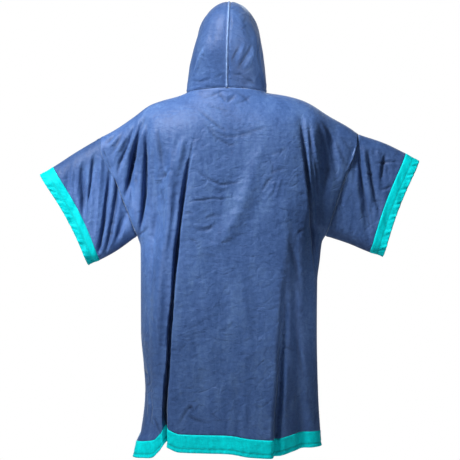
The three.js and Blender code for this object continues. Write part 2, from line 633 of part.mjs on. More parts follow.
for (const [name, panel] of Object.entries(panels)) {
  addPiece(`${name}_panel`, clothWall({
    columns: panelColumns,
    rows: grid.armholeRows + grid.bodyRows,
    outer: (i, j) => panelPoint(panel, i / panelColumns, rowAt(j)),
    inward: (i, j) => panelInward(panel, i / panelColumns, rowAt(j)),
    trim: { first: true, last: true, left: true, right: true },
  }), blueCloth);
  addPiece(`${name}_hem_band`, clothWall({
    columns: panelColumns,
    rows: grid.hemRows,
    outer: (i, j) => panelPoint(panel, i / panelColumns, bandRowAt(j)),
    inward: (i, j) => panelInward(panel, i / panelColumns, bandRowAt(j)),
    trim: { first: true, left: true, right: true },
  }), tealCloth);
}

for (const sleeve of sleeves) {
  const around = 2 * grid.armholeRows;
  const cuffSeam = sleeve.sections[2].out;
  const ringAt = (i) => ({ down: armholeShare(i), face: i < grid.armholeRows ? -1 : 1 });
  const tube = (from, to, rows, trim) => clothWall({
    columns: around,
    rows,
    ring: true,
    outer: (i, j) => sleevePoint(sleeve, lerp(from, to, j / rows), ringAt(i).down, ringAt(i).face),
    inward: (i, j) => sleeveInward(sleeve, lerp(from, to, j / rows), ringAt(i).down, ringAt(i).face),
    trim,
  });
  const sleeveTube = tube(0, cuffSeam, grid.sleeveRows, { first: true, last: true });
  addPiece(`${sleeve.name}_sleeve`, sleeveTube, blueCloth);
  addPiece(`${sleeve.name}_cuff_band`, tube(cuffSeam, 1, grid.cuffRows, { first: true }), tealCloth);
}

for (const [name, side] of [["left", -1], ["right", 1]]) {
  const columns = 2 * grid.neckHalf;
  const rows = grid.hoodRows;
  addPiece(`${name}_hood_half`, clothWall({
    columns,
    rows,
    outer: (i, j) => hoodPoint(side, i / columns, j / rows),
    inward: (i, j) => hoodInward(side, i / columns, j / rows),
    trim: { first: true, left: true },
  }), blueCloth);
}

export default poncho;
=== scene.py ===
"""Hooded bath poncho of brushed microfibre, seen from the back, worn with the arms held out.

Each sewn piece is a thin sheet of cloth on the form of its solid. The form's tables are in
millimetres, as on a cutting plan, and every mesh is made in metres.
"""
import logging
import math
from collections.abc import Callable, Sequence
from dataclasses import dataclass, field
from enum import Enum
from functools import partial, reduce
from operator import add

import bpy
import numpy as np
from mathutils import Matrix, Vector


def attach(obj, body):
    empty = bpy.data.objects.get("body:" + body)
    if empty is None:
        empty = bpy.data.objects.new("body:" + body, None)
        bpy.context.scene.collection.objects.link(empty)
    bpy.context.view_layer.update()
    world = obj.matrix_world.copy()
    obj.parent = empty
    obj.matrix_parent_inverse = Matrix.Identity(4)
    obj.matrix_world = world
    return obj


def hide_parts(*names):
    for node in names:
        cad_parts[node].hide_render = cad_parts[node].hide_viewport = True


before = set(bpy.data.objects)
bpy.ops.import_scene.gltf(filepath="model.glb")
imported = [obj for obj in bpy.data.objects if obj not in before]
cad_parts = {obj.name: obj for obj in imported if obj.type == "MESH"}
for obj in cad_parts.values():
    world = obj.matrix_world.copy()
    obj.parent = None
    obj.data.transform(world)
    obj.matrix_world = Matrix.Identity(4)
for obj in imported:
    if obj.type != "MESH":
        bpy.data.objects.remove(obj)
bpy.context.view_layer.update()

MM = 0.001
FAR = 1e3
LOG = logging.getLogger("poncho")

# How much of a grid's lines are drawn together at its ends
BUNCHING = 0.6
# A fold wanders from its course in two waves, (height, length), from this share of it on
WANDER_WAVES = ((1.6, 84), (0.7, 31))
WANDER_FROM = 0.3
# The lip of a tucked fold: its distance and width in the fold's widths, and what flows back
LIP_AT, LIP_WIDTH, LIP_RETURN = 1.5, 1.3, 0.5
# How a crease fades to its ends, its width there and what the middle adds, and its soft lips
CREASE_FADE = 0.7
CREASE_TAPER = (0.55, 0.45)
CREASE_LIP, CREASE_LIP_AT = 0.25, 2.1
# Heights in mm at which a ridge gets its full painted highlight and a trough its full painted shade
FULL_RIDGE, FULL_TROUGH = 4, 2.4
# Widths in mm of a trough that gets no painted shade and of one that gets it in full
WIDE_TROUGH, NARROW_TROUGH = 9, 4
# The waves of an undulation: their number, spread of angles, range of pitches and sway
WAVES = 9
WAVE_TURN = 0.5
WAVE_PITCHES = (0.6, 1.7)
WAVE_SWAY = 1.3
# The soft roll beside a seam: its distance and width, and the width of the pale line of rubbed pile and
# painted highlight, in mm
ROLL_AT, ROLL_WIDTH, WORN_AND_HIGHLIT_WIDTH = 6, 3, 2.2

Array = np.ndarray
Points = tuple[Array, Array, Array]
Pair = tuple[float, float]
Triple = tuple[float, float, float]
TINY = 1e-9


class Side(Enum):
    """The wearer's side on which a piece lies, as its sign along X."""

    LEFT = -1
    RIGHT = 1


class Face(Enum):
    """The half of the garment to which a panel belongs, as its sign along Y."""

    BACK = -1
    FRONT = 1


class Slot(Enum):
    """The material slots."""

    BLUE = "blue_cloth"
    TEAL = "teal_cloth"


def lerp(a: Array | float, b: Array | float, t: Array | float) -> Array:
    """Straight blend from a to b."""
    return a + (b - a) * t


def smooth(low: float, high: float, value: Array) -> Array:
    """Soft step from 0 at low to 1 at high."""
    t = np.clip((value - low) / (high - low), 0, 1)
    return t * t * (3 - 2 * t)


def quarter_round(value: Array) -> Array:
    """Rise from 0 to 1 along a quarter of a circle."""
    return np.sqrt(1 - (1 - np.clip(value, 0, 1)) ** 2)


def bell(distance: Array, width: Array | float) -> Array:
    """A soft bump that is 1 at distance 0."""
    return np.exp(-((distance / width) ** 2))


def lengths(points: Array, axis: int) -> Array:
    """Distance of each point from the first one, along its row (axis 1) or column (axis 0)."""
    steps = np.linalg.norm(np.diff(points, axis=axis), axis=-1)
    return np.cumsum(np.insert(steps, 0, 0, axis=axis), axis=axis)


def bunched(count: int) -> Array:
    """Places from 0 to 1 that stand closer together near both ends."""
    even = np.arange(count + 1) / count
    return BUNCHING * (1 - np.cos(np.pi * even)) / 2 + (1 - BUNCHING) * even


class Curve:
    """A smooth curve through a table's points, with no overshoot between them."""

    def __init__(self, x: Sequence[float], y: Sequence[Array | float]) -> None:
        """Work out the slopes.

        Args:
            x: Rising places of the points.
            y: Values there, as numbers or as arrays that are all of one shape.
        """
        self.x = np.asarray(x, float)
        self.y = [np.asarray(v, float) for v in y]
        widths = np.diff(self.x)
        slopes = [(b - a) / w for a, b, w in zip(self.y, self.y[1:], widths)]
        self.tangent = [slopes[0]]
        for before, after in zip(slopes, slopes[1:]):
            product, total = before * after, before + after
            rising = product > 0
            self.tangent.append(np.where(rising, 2 * product / np.where(rising, total, 1), 0))
        self.tangent.append(slopes[-1])

    def __call__(self, value: Array) -> Array:
        """Read the curve.

        Args:
            value: Places to read.

        Returns:
            The curve's values, of the same shape.
        """
        value = np.clip(np.asarray(value, float), self.x[0], self.x[-1])
        result = np.zeros(np.broadcast(value, self.y[0]).shape)
        spans = len(self.x) - 1
        for i in range(spans):
            width = self.x[i + 1] - self.x[i]
            t = (value - self.x[i]) / width
            here = (t >= 0) & ((t < 1) | (i == spans - 1) & (t <= 1))
            t2, t3 = t * t, t * t * t
            part = ((2 * t3 - 3 * t2 + 1) * self.y[i] + (t3 - 2 * t2 + t) * width * self.tangent[i]
                    + (3 * t2 - 2 * t3) * self.y[i + 1] + (t3 - t2) * width * self.tangent[i + 1])
            result = np.where(here, part, result)
        return result


@dataclass(frozen=True)
class Neck:
    """The neck opening, an oval that dips at the front."""

    middle_x: float = -4
    half_width: float = 109
    back: float = 78
    front: float = 88
    back_rise: float = 6
    front_drop: float = 60
    front_power: float = 1.5

    def at(self, side: Array, turn: Array) -> Points:
        """Points of the opening.

        Args:
            side: -1 on the left half and 1 on the right.
            turn: 0 in the middle of the back, 1 in the middle of the front.

        Returns:
            Their x, y and z.
        """
        forward = -np.cos(np.pi * turn)
        y = forward * np.where(forward < 0, self.back, self.front)
        front_z = -self.front_drop * np.clip(forward, 0, 1) ** self.front_power
        z = np.where(forward < 0, self.back_rise * forward ** 2, front_z)
        return self.middle_x + side * self.half_width * np.sin(np.pi * turn), y, z


@dataclass(frozen=True)
class Fold:
    """One of the large folds: a trough from its head to its foot."""

    name: str
    head: Pair
    foot: Pair
    bow: float
    depths: Pair
    slopes: Pair
    tuck: float
    fades: Pair

    def at(self, x: Array, z: Array) -> tuple[Array, Array]:
        """How far the fold moves the cloth.

        Args:
            x: Places across.
            z: Places up.

        Returns:
            How far inwards, and how far sideways.
        """
        dx, dz = self.foot[0] - self.head[0], self.foot[1] - self.head[1]
        length = math.hypot(dx, dz)
        t = ((x - self.head[0]) * dx + (z - self.head[1]) * dz) / length ** 2
        inside = (t > 0) & (t <= 1)
        (high, wide), (low, narrow) = WANDER_WAVES
        wander = high * np.sin(z / wide + self.head[0]) + low * np.sin(z / narrow + self.foot[0])
        off = (((x - self.head[0]) * -dz + (z - self.head[1]) * dx) / length
               - self.bow * 4 * t * (1 - t) + wander * smooth(0, WANDER_FROM, t))
        foot_fade = smooth(0, self.fades[1], 1 - t) if self.fades[1] else 1
        strength = smooth(0, self.fades[0], t) * foot_fade * inside
        width = np.where(off < 0, self.slopes[0], self.slopes[1])
        inward = lerp(self.depths[0], self.depths[1], t) * strength * bell(off, width)
        lip_width = self.slopes[1] if self.tuck > 0 else self.slopes[0]
        lip_at = math.copysign(LIP_AT * lip_width, self.tuck)
        lip = (-self.tuck * bell(off - lip_at, LIP_WIDTH * lip_width)
               + LIP_RETURN * self.tuck * bell(off, lip_width))
        return inward, lip * strength * t


@dataclass(frozen=True)
class Crease:
    """A small trough, or a ridge where its depth is negative, along a bent line."""

    line: tuple[Pair, ...]
    width: float
    depth: float

    def at(self, x: Array, z: Array, least_width: float) -> tuple[Array, Array]:
        """How far the crease presses the cloth in.

        Args:
            x: Places across.
            z: Places up.
            least_width: The narrowest crease that the grid can show.

        Returns:
            The depth at each place, with soft lips beside the trough, and how much painted shade
            darkens a trough, or below 0, how much painted highlight lightens a ridge.
        """
        near = np.full(x.shape, FAR)
        along = np.zeros(x.shape)
        spans = len(self.line) - 1
        for i, ((ax, az), (bx, bz)) in enumerate(zip(self.line, self.line[1:])):
            dx, dz = bx - ax, bz - az
            s = np.clip(((x - ax) * dx + (z - az) * dz) / (dx * dx + dz * dz), 0, 1)
            distance = np.hypot(x - ax - s * dx, z - az - s * dz)
            closer = distance < near
            near = np.where(closer, distance, near)
            along = np.where(closer, (i + s) / spans, along)
        fade = np.sin(np.pi * np.clip(along, 0, 1)) ** CREASE_FADE
        taper = max(self.width, least_width) * (CREASE_TAPER[0] + CREASE_TAPER[1] * fade)
        lips = CREASE_LIP * bell(near - CREASE_LIP_AT * taper, taper)
        trough = fade * bell(near, taper)
        # A ridge gets painted highlight, a narrow trough painted shade
        if self.depth < 0:
            nap_and_shading = trough * max(self.depth / FULL_RIDGE, -1)
        else:
            trough_shading = smooth(WIDE_TROUGH, NARROW_TROUGH, np.array(self.width))
            nap_and_shading = trough * min(self.depth / FULL_TROUGH, 1) * float(trough_shading)
        return self.depth * (trough - fade * lips), nap_and_shading


@dataclass(frozen=True)
class Tension:
    """Long soft undulations of hanging cloth, as a few waves that wander."""

    seed: int
    amplitude: float
    spacing: float
    stretch: float
    lean: float = 0.0

    def at(self, x: Array, z: Array) -> Array:
        """Height of the undulation.

        Args:
            x: Places across.
            z: Places up.

        Returns:
            The depth at each place, on both sides of zero.
        """
        draw = np.random.default_rng(self.seed)
        total = np.zeros(x.shape)
        for _ in range(WAVES):
            angle = self.lean + draw.normal(0, WAVE_TURN)
            pitch = self.spacing * draw.uniform(*WAVE_PITCHES)
            across = (x * math.cos(angle) + z * math.sin(angle)) / pitch
            down = (z * math.cos(angle) - x * math.sin(angle)) / (pitch * self.stretch)
            phase, sway = draw.uniform(0, 2 * math.pi, 2)
            total += np.sin(2 * math.pi * across + phase + WAVE_SWAY * np.sin(2 * math.pi * down + sway))
        return self.amplitude * total / math.sqrt(WAVES)


def crease_all(creases: Sequence[Crease], x: Array, z: Array,
               least_width: float = 3.3) -> tuple[Array, Array]:
    """What all the creases do to the cloth.

    Args:
        creases: The creases.
        x: Places across.
        z: Places up.
        least_width: The narrowest crease that the grid can show.

    Returns:
        How far they press it in, and their painted shade, or below 0 their painted highlight, from -1 to 1.
    """
    moved = [crease.at(x, z, least_width) for crease in creases]
    return sum(m[0] for m in moved), np.clip(sum(m[1] for m in moved), -1, 1)


# The form of the garment: the solids', with more and narrower folds on the back

LEFT_SHOULDER = Curve((-352, -305, -258, -212, -179, -135, -113), (-124, -98, -66, -33, -21, -9, 0))
RIGHT_SHOULDER = Curve((105, 157, 198, 223, 275, 333, 357), (0, -8, -19, -30, -63, -96, -114))
LEFT_SIDE = Curve((-995, -954, -927, -817, -751, -652, -426, -393),
                  (-261, -251, -239, -228, -232, -240, -241, -250))
RIGHT_SIDE = Curve((-965, -916, -817, -652, -520, -459, -410, -393),
                   (256, 252, 247, 244, 245, 252, 258, 267))
SLIT_TOP, SLIT_BOTTOM, SLIT_STAND_OFF = -817, -990, 16
HEM_SEAM_LEVEL = 0.9505
UNDERARM = {Side.LEFT: 0.3088, Side.RIGHT: 0.3262}
UNDERARM_ROW = 0.3175
LEAST_HALF_DEPTH = 7


@dataclass(frozen=True)
class SleeveSection:
    """One ring of a sleeve: its top and lowest points, half its depth, and its bend along X."""

    out: float
    top: Pair
    low: Pair
    half_depth: float
    bow: float


SLEEVE_SECTIONS = {
    Side.LEFT: (
        SleeveSection(0, (-352, -124), (-250, -393), 52, 0),
        SleeveSection(0.4, (-418, -163), (-308, -435), 50, 4),
        SleeveSection(0.78, (-480, -203), (-352, -459), 46, 12),
        SleeveSection(1, (-517, -224), (-384, -473), 47, 12),
    ),
    Side.RIGHT: (
        SleeveSection(0, (357, -114), (267, -393), 52, 0),
        SleeveSection(0.4, (424, -136), (330, -414), 50, -3),
        SleeveSection(0.78, (487, -166), (388, -438), 46, -8),
        SleeveSection(1, (524, -186), (425, -450), 47, -9),
    ),
}
CUFF_SEAM = 0.78

BACK_FOLDS = (
    Fold("main left", (-89, -105), (-166, -1010), -20, (12, 66), (5.6, 3), 3, (0.22, 0)),
    Fold("main left lobe side", (-97, -130), (-176, -1010), -20, (4, 26), (26, 6), 0, (0.2, 0)),
    Fold("main right", (164, -380), (124, -1010), -6, (3, 34), (7, 15), -4, (0.45, 0)),
    Fold("right lobe", (168, -270), (202, -1010), -3, (4, 15), (12, 16), 0, (0.3, 0)),
    Fold("lobe valley", (-186, -200), (-212, -700), 0, (10, 8), (9, 12), 0, (0.2, 0.4)),
    Fold("left armpit", (-219, -62), (-243, -430), 7, (24, 18), (7, 5), 0, (0.1, 0.3)),
    Fold("left drape", (-218, -50), (-284, -320), -6, (15, 18), (7, 5), 0, (0.15, 0.25)),
    Fold("left drape inner", (-236, -120), (-250, -340), -20, (9, 11), (6, 6), 0, (0.3, 0.3)),
    Fold("left drape outer", (-246, -80), (-304, -235), 0, (9, 9), (6, 5), 0, (0.25, 0.35)),
    Fold("right armpit", (188, -36), (240, -520), 4, (17, 18), (5, 8), 0, (0.2, 0.35)),
    Fold("right armpit outer", (214, -64), (246, -400), -4, (10, 11), (5, 7), 0, (0.2, 0.3)),
    Fold("right drape", (262, -82), (296, -270), 8, (8, 6), (9, 9), 0, (0.35, 0.4)),
    Fold("right drape inner", (238, -70), (280, -250), 2, (6, 6), (7, 7), 0, (0.3, 0.4)),
    Fold("left lobe", (-176, -105), (-186, -560), 8, (6, 6), (10, 10), 0, (0.3, 0.5)),
    Fold("left sleeve inner", (-318, -190), (-356, -450), 4, (9, 15), (6, 5), 0, (0.25, 0.12)),
    Fold("left sleeve outer", (-386, -170), (-394, -360), -4, (8, 8), (6, 5), 0, (0.3, 0.35)),
    Fold("left sleeve middle", (-358, -150), (-384, -335), -2, (7, 8), (6, 5), 0, (0.3, 0.35)),
    Fold("left sleeve low", (-296, -215), (-338, -455), 5, (7, 10), (6, 5), 0, (0.25, 0.2)),
    Fold("left sleeve under", (-266, -290), (-312, -420), 3, (5, 7), (7, 7), 0, (0.4, 0.3)),
    Fold("right sleeve inner", (352, -140), (388, -400), -3, (8, 9), (8, 9), 0, (0.25, 0.3)),
    Fold("right sleeve outer", (380, -150), (416, -360), -2, (7, 7), (8, 8), 0, (0.3, 0.4)),
    Fold("right sleeve top", (430, -160), (414, -260), 0, (6, 6), (7, 7), 0, (0.4, 0.4)),
)
FRONT_FOLDS = (
    Fold("main left", (-128, -200), (-152, -1010), -6, (10, 56), (26, 14), 0, (0.35, 0)),
    Fold("main right", (122, -210), (148, -1010), 6, (10, 52), (14, 26), 0, (0.35, 0)),
    Fold("left armpit", (-214, -66), (-232, -450), 6, (18, 16), (13, 13), 0, (0.25, 0.35)),
    Fold("right armpit", (206, -64), (240, -450), -4, (18, 16), (13, 13), 0, (0.25, 0.35)),
    Fold("left drape", (-250, -80), (-292, -330), -8, (10, 11), (11, 11), 0, (0.35, 0.3)),
    Fold("right drape", (250, -80), (300, -320), 8, (10, 10), (11, 11), 0, (0.35, 0.3)),
    Fold("left sleeve", (-368, -170), (-362, -440), -5, (10, 12), (12, 12), 0, (0.35, 0.2)),
    Fold("right sleeve", (372, -150), (372, -405), 5, (10, 11), (12, 12), 0, (0.35, 0.25)),
    Fold("middle", (34, -420), (46, -1010), 5, (2, 14), (26, 22), 0, (0.5, 0)),
)
FOLDS = {Face.BACK: BACK_FOLDS, Face.FRONT: FRONT_FOLDS}


def folds_at(face: Face, x: Array, z: Array) -> tuple[Array, Array]:
    """How far all the large folds of one face move the cloth inwards and sideways."""
    moved = [fold.at(x, z) for fold in FOLDS[face]]
    return sum(m[0] for m in moved), sum(m[1] for m in moved)


@dataclass(frozen=True)
class SleeveForm:
    """The form of one sleeve, which hangs from the arm in flat rings."""

    side: Side
    arm_share: float = 0.17
    taper: float = 0.4
    close_share: float = 0.12

    def at(self, out: Array, down: Array, face: Array) -> Points:
        """Points of the sleeve.

        Args:
            out: 0 at the armhole, 1 at the cuff's edge.
            down: 0 along the top, 1 along the lowest line.
            face: -1 on the back half and 1 on the front half.

        Returns:
            Their x, y and z.
        """
        rows = SLEEVE_SECTIONS[self.side]
        outs = [r.out for r in rows]

        def read(pick: Callable[[SleeveSection], float]) -> Array:
            """One column of the table, read at each place."""
            return Curve(outs, [pick(r) for r in rows])(out)

        x = lerp(read(lambda r: r.top[0]), read(lambda r: r.low[0]), down)
        x = x + read(lambda r: r.bow) * np.sin(np.pi * down)
        z = lerp(read(lambda r: r.top[1]), read(lambda r: r.low[1]), down)
        closing = quarter_round(down / self.arm_share) * quarter_round((1 - down) / self.close_share)
        plain = read(lambda r: r.half_depth) * (1 - self.taper * down)
        inward = np.where(face < 0, folds_at(Face.BACK, x, z)[0], folds_at(Face.FRONT, x, z)[0])
        return x, face * np.maximum(LEAST_HALF_DEPTH, plain - inward) * closing, z


SLEEVES = {side: SleeveForm(side) for side in Side}


@dataclass(frozen=True)
class PanelForm:
    """The form of the back or the front panel with its hem band."""

    face: Face
    tracks: dict[str, Curve]
    depths: dict[str, Curve]
    hem: Curve
    shares: tuple[float, float, float, float] = (14 / 46, 16 / 46, 32 / 46, 34 / 46)
    depth_shares: tuple[float, ...] = (0.08, 0.2, 0.36, 0.52, 0.68, 0.84, 0.93)
    wrap_arm: float = 50
    wrap_shoulder: float = 105
    wrap_arm_x: float = 290
    wrap_shoulder_x: float = 190
    round_arm: float = 42
    round_body: float = 62
    round_levels: Pair = (0.2, 0.36)
    straight_from: float = 0.16
    edge_share: float = 0.25

    def column_x(self, share: Array, level: Array, left: Array | float, right: Array | float) -> Array:
        """x of each column, straight between the edges and the fold lines."""
        stops = (0, *self.shares, 1)
        values = [left, *(self.tracks[k](level) for k in TRACK_NAMES), right]
        x = values[0] + 0 * share
        for s0, s1, v0, v1 in zip(stops, stops[1:], values, values[1:]):
            x = np.where(share >= s0, lerp(v0, v1, (share - s0) / (s1 - s0)), x)
        return x

    def hem_ends(self) -> tuple[Pair, Pair]:
        """x and z of the hem's two ends."""
        left, right = self.hem.x[0], self.hem.x[-1]
        return (left, float(self.hem.y[0])), (right, float(self.hem.y[-1]))

    def top(self, share: Array, neck: Neck) -> Points:
        """The top edge: shoulder seam, half the neck opening, shoulder seam."""
        edge_left, edge_right = self.shares[1], self.shares[2]
        x = self.column_x(share, np.zeros_like(share), LEFT_SHOULDER.x[0], RIGHT_SHOULDER.x[-1])
        z = np.where(share < 0.5, LEFT_SHOULDER(x), RIGHT_SHOULDER(x))
        turn = np.abs((share - edge_left) / (edge_right - edge_left) - 0.5)
        turn = turn if self.face is Face.BACK else 1 - turn
        side = np.where(share < (edge_left + edge_right) / 2, -1, 1)
        nx, ny, nz = neck.at(side, np.clip(turn, 0, 1))
        in_neck = (share > edge_left) & (share < edge_right)
        return np.where(in_neck, nx, x), np.where(in_neck, ny, 0), np.where(in_neck, nz, z)

    def side_edge(self, side: Side, level: Array) -> Points:
        """The panel's edge: round the armhole, down the side seam, along the slit."""
        under = UNDERARM[side]
        armhole = SLEEVES[side].at(np.zeros_like(level), np.clip(level / under, 0, 1),
                                   np.full_like(level, self.face.value))
        low_z = SLEEVE_SECTIONS[side][0].low[1]
        end = self.hem_ends()[0 if side is Side.LEFT else 1]
        z = lerp(low_z, end[1], (level - under) / (1 - under))
        x = (LEFT_SIDE if side is Side.LEFT else RIGHT_SIDE)(z)
        y = self.face.value * SLIT_STAND_OFF * smooth(0, 1, (SLIT_TOP - z) / (SLIT_TOP - SLIT_BOTTOM))
        in_arm = level <= under
        return tuple(np.where(in_arm, a, b) for a, b in zip(armhole, (x, y, z)))

    def at(self, share: Array, row: Array) -> Points:
        """Points of the panel.

        Args:
            share: 0 at the left edge, 1 at the right edge.
            row: 0 at the top, 1 at the hem.

        Returns:
            Their x, y and z.
        """
        hat = np.where(row < UNDERARM_ROW, row / UNDERARM_ROW, (1 - row) / (1 - UNDERARM_ROW))
        level = row + (lerp(UNDERARM[Side.LEFT], UNDERARM[Side.RIGHT], share) - UNDERARM_ROW) * hat
        top_x, top_y, top_z = self.top(share, Neck())
        left = self.side_edge(Side.LEFT, level)
        right = self.side_edge(Side.RIGHT, level)
        below = self.column_x(share, level, left[0], right[0])
        on_edge = (share <= 0) | (share >= 1)
        x = lerp(top_x, below, np.where(on_edge, 1, smooth(0, self.straight_from, level)))
        on_left = share < 0.5
        ends = self.hem_ends()
        hem_x = self.column_x(share, np.ones_like(share), ends[0][0], ends[1][0])
        hung = lerp(top_z, self.hem(hem_x), level)
        corner_z = np.where(on_left, float(LEFT_SHOULDER.y[0]), float(RIGHT_SHOULDER.y[-1]))
        straight = lerp(corner_z, np.where(on_left, ends[0][1], ends[1][1]), level)
        edge = tuple(np.where(on_left, a, b) for a, b in zip(left, right))
        z = hung + (edge[2] - straight) * (1 - smooth(0, self.edge_share, np.minimum(share, 1 - share)))

        stops = [self.depths[k](level) for k in DEPTH_NAMES]
        plain = Curve((0, *self.depth_shares, 1), [stops[0], *stops, stops[-1]])(share)
        inward, sideways = folds_at(self.face, x, z)
        deep = self.face.value * np.maximum(LEAST_HALF_DEPTH, plain - inward)
        drop = np.maximum(0, top_z - z)
        near_arm = smooth(self.wrap_shoulder_x, self.wrap_arm_x, np.abs(x))
        wrap_drop = lerp(self.wrap_shoulder, self.wrap_arm, near_arm)
        in_neck = np.clip((share - self.shares[1]) / (self.shares[2] - self.shares[1]), 0, 1)
        neckness = np.sin(np.pi * in_neck)
        soft = np.sin(np.pi / 2 * np.clip(drop / self.wrap_shoulder, 0, 1))
        over = lerp(quarter_round(drop / wrap_drop), soft, neckness)
        width = lerp(self.round_arm, self.round_body, smooth(*self.round_levels, level))
        rounding = quarter_round(np.abs(x - edge[0]) / width)
        y = deep * over * rounding + top_y * (1 - over) + edge[1] * (1 - rounding)
        return x + sideways * over * rounding, y, z


TRACK_NAMES = ("fold_left", "edge_left", "edge_right", "fold_right")
DEPTH_NAMES = ("arm_left", "lobe_left", "blade_left", "spine", "blade_right", "lobe_right", "arm_right")


def columns(names: Sequence[str], rows: Sequence[Sequence[float]]) -> dict[str, Curve]:
    """A table as one curve for each named column.

    Args:
        names: The columns' names, after the first one.
        rows: The rows, each with its level first.

    Returns:
        A curve over the level for each name.
    """
    levels = [r[0] for r in rows]
    return {name: Curve(levels, [r[i + 1] for r in rows]) for i, name in enumerate(names)}


BACK = PanelForm(
    Face.BACK,
    columns(TRACK_NAMES, (
        (0, -137, -113, 105, 130),
        (0.06, -126, -107, 110, 138),
        (0.14, -110, -96, 130, 154),
        (0.24, -108, -97, 148, 166),
        (0.3175, -118, -108, 155, 170),
        (0.45, -133, -123, 152, 161),
        (0.67, -153, -144, 134, 142),
        (1, -167, -158, 117, 125),
    )),
    columns(DEPTH_NAMES, (
        (0, 52, 88, 92, 88, 92, 88, 52),
        (0.06, 54, 94, 104, 100, 104, 94, 54),
        (0.14, 56, 104, 118, 112, 118, 104, 56),
        (0.24, 60, 110, 125, 120, 125, 112, 60),
        (0.3175, 66, 112, 127, 123, 127, 114, 66),
        (0.45, 84, 112, 128, 126, 127, 108, 88),
        (0.67, 86, 110, 130, 130, 126, 98, 84),
        (1, 78, 106, 132, 136, 130, 80, 60),
    )),
    Curve((-261, -228, -204, -186, -167, -156, -130, 0, 60, 126, 150, 204, 256),
          (-995, -991, -986, -970, -948, -956, -966, -970, -980, -984, -978, -967, -965)),
)
FRONT = PanelForm(
    Face.FRONT,
    columns(TRACK_NAMES, (
        (0, -137, -113, 105, 130),
        (0.1, -150, -112, 110, 150),
        (0.2, -150, -112, 110, 150),
        (0.3175, -148, -112, 110, 150),
        (0.5, -146, -110, 108, 148),
        (1, -146, -112, 112, 148),
    )),
    columns(DEPTH_NAMES, (
        (0, 52, 80, 88, 88, 88, 80, 52),
        (0.1, 54, 92, 104, 102, 104, 92, 54),
        (0.2, 58, 100, 116, 113, 116, 100, 58),
        (0.3175, 66, 104, 118, 119, 118, 104, 66),
        (0.5, 88, 104, 118, 121, 118, 104, 88),
        (1, 80, 102, 120, 127, 120, 102, 80),
    )),
    Curve((-258, -200, -140, 0, 140, 200, 260), (-976, -968, -958, -966, -960, -966, -962)),
)


@dataclass(frozen=True)
class Arch:
    """One arch of the hood, from its centre seam to its front edge."""

    turn: float
    back: Pair
    pull: float
    face: Triple
    end: Triple
    lean: float


HOOD_ARCHES = (
    Arch(0, (-78, 6), 146, (2, 88, -60), (144, 2, 2), -4),
    Arch(0.17, (-92, 56), 133, (58, 100, -22), (78, -8, 6), -4),
    Arch(0.34, (-106, 118), 118, (80, 104, 18), (42, -34, 30), -3),
    Arch(0.52, (-98, 184), 92, (88, 104, 52), (22, -54, 62), 0),
    Arch(0.7, (-56, 232), 66, (90, 101, 84), (12, -54, 88), 2),
    Arch(0.86, (8, 251), 52, (88, 96, 112), (8, -40, 90), 3),
    Arch(1, (74, 238), 50, (82, 90, 138), (8, -20, 76), 3),
)


@dataclass(frozen=True)
class HoodForm:
    """The form of one half of the hood."""

    side: Side
    fitted_until: float = 0.3

    def at(self, along: Array, turn: Array) -> Points:
        """Points of the hood half.

        Args:
            along: 0 at the centre seam, 1 at the front edge.
            turn: 0 at the neck seam, 1 at the brow.

        Returns:
            Their x, y and z.
        """
        turns = [a.turn for a in HOOD_ARCHES]

        def bezier(t: Array) -> Points:
            """The arches' own curves, before they are fitted to the neck."""
            def read(pick: Callable[[Arch], float]) -> Array:
                """One column of the table, read at each place."""
                return Curve(turns, [pick(a) for a in HOOD_ARCHES])(t)

            back = (0 * t, read(lambda a: a.back[0]), read(lambda a: a.back[1]))
            near = (read(lambda a: a.pull), back[1], back[2])
            face = tuple(read(lambda a, k=k: a.face[k]) for k in range(3))
            far = tuple(face[k] + read(lambda a, k=k: a.end[k]) for k in range(3))
            u = 1 - along
            return tuple(u ** 3 * b + 3 * u * u * along * n + 3 * u * along ** 2 * f + along ** 3 * e
                         for b, n, f, e in zip(back, near, far, face))

        point = bezier(turn)
        seat = bezier(0 * turn)
        neck = Neck()
        ring = neck.at(np.ones_like(along), along)
        ring = (ring[0] - neck.middle_x, ring[1], ring[2])
        fit = 1 - smooth(0, self.fitted_until, turn)
        x, y, z = (p + (r - s) * fit for p, r, s in zip(point, ring, seat))
        return x * self.side.value + Curve(turns, [a.lean for a in HOOD_ARCHES])(turn), y, z


def creases(*rows: Sequence[float]) -> tuple[Crease, ...]:
    """A table's creases, each row with its width, its depth, and x and z of each point."""
    return tuple(Crease(tuple(zip(r[2::2], r[3::2])), r[0], r[1]) for r in rows)


# Creases, read from the photograph on the back and the like of them on the hidden sides

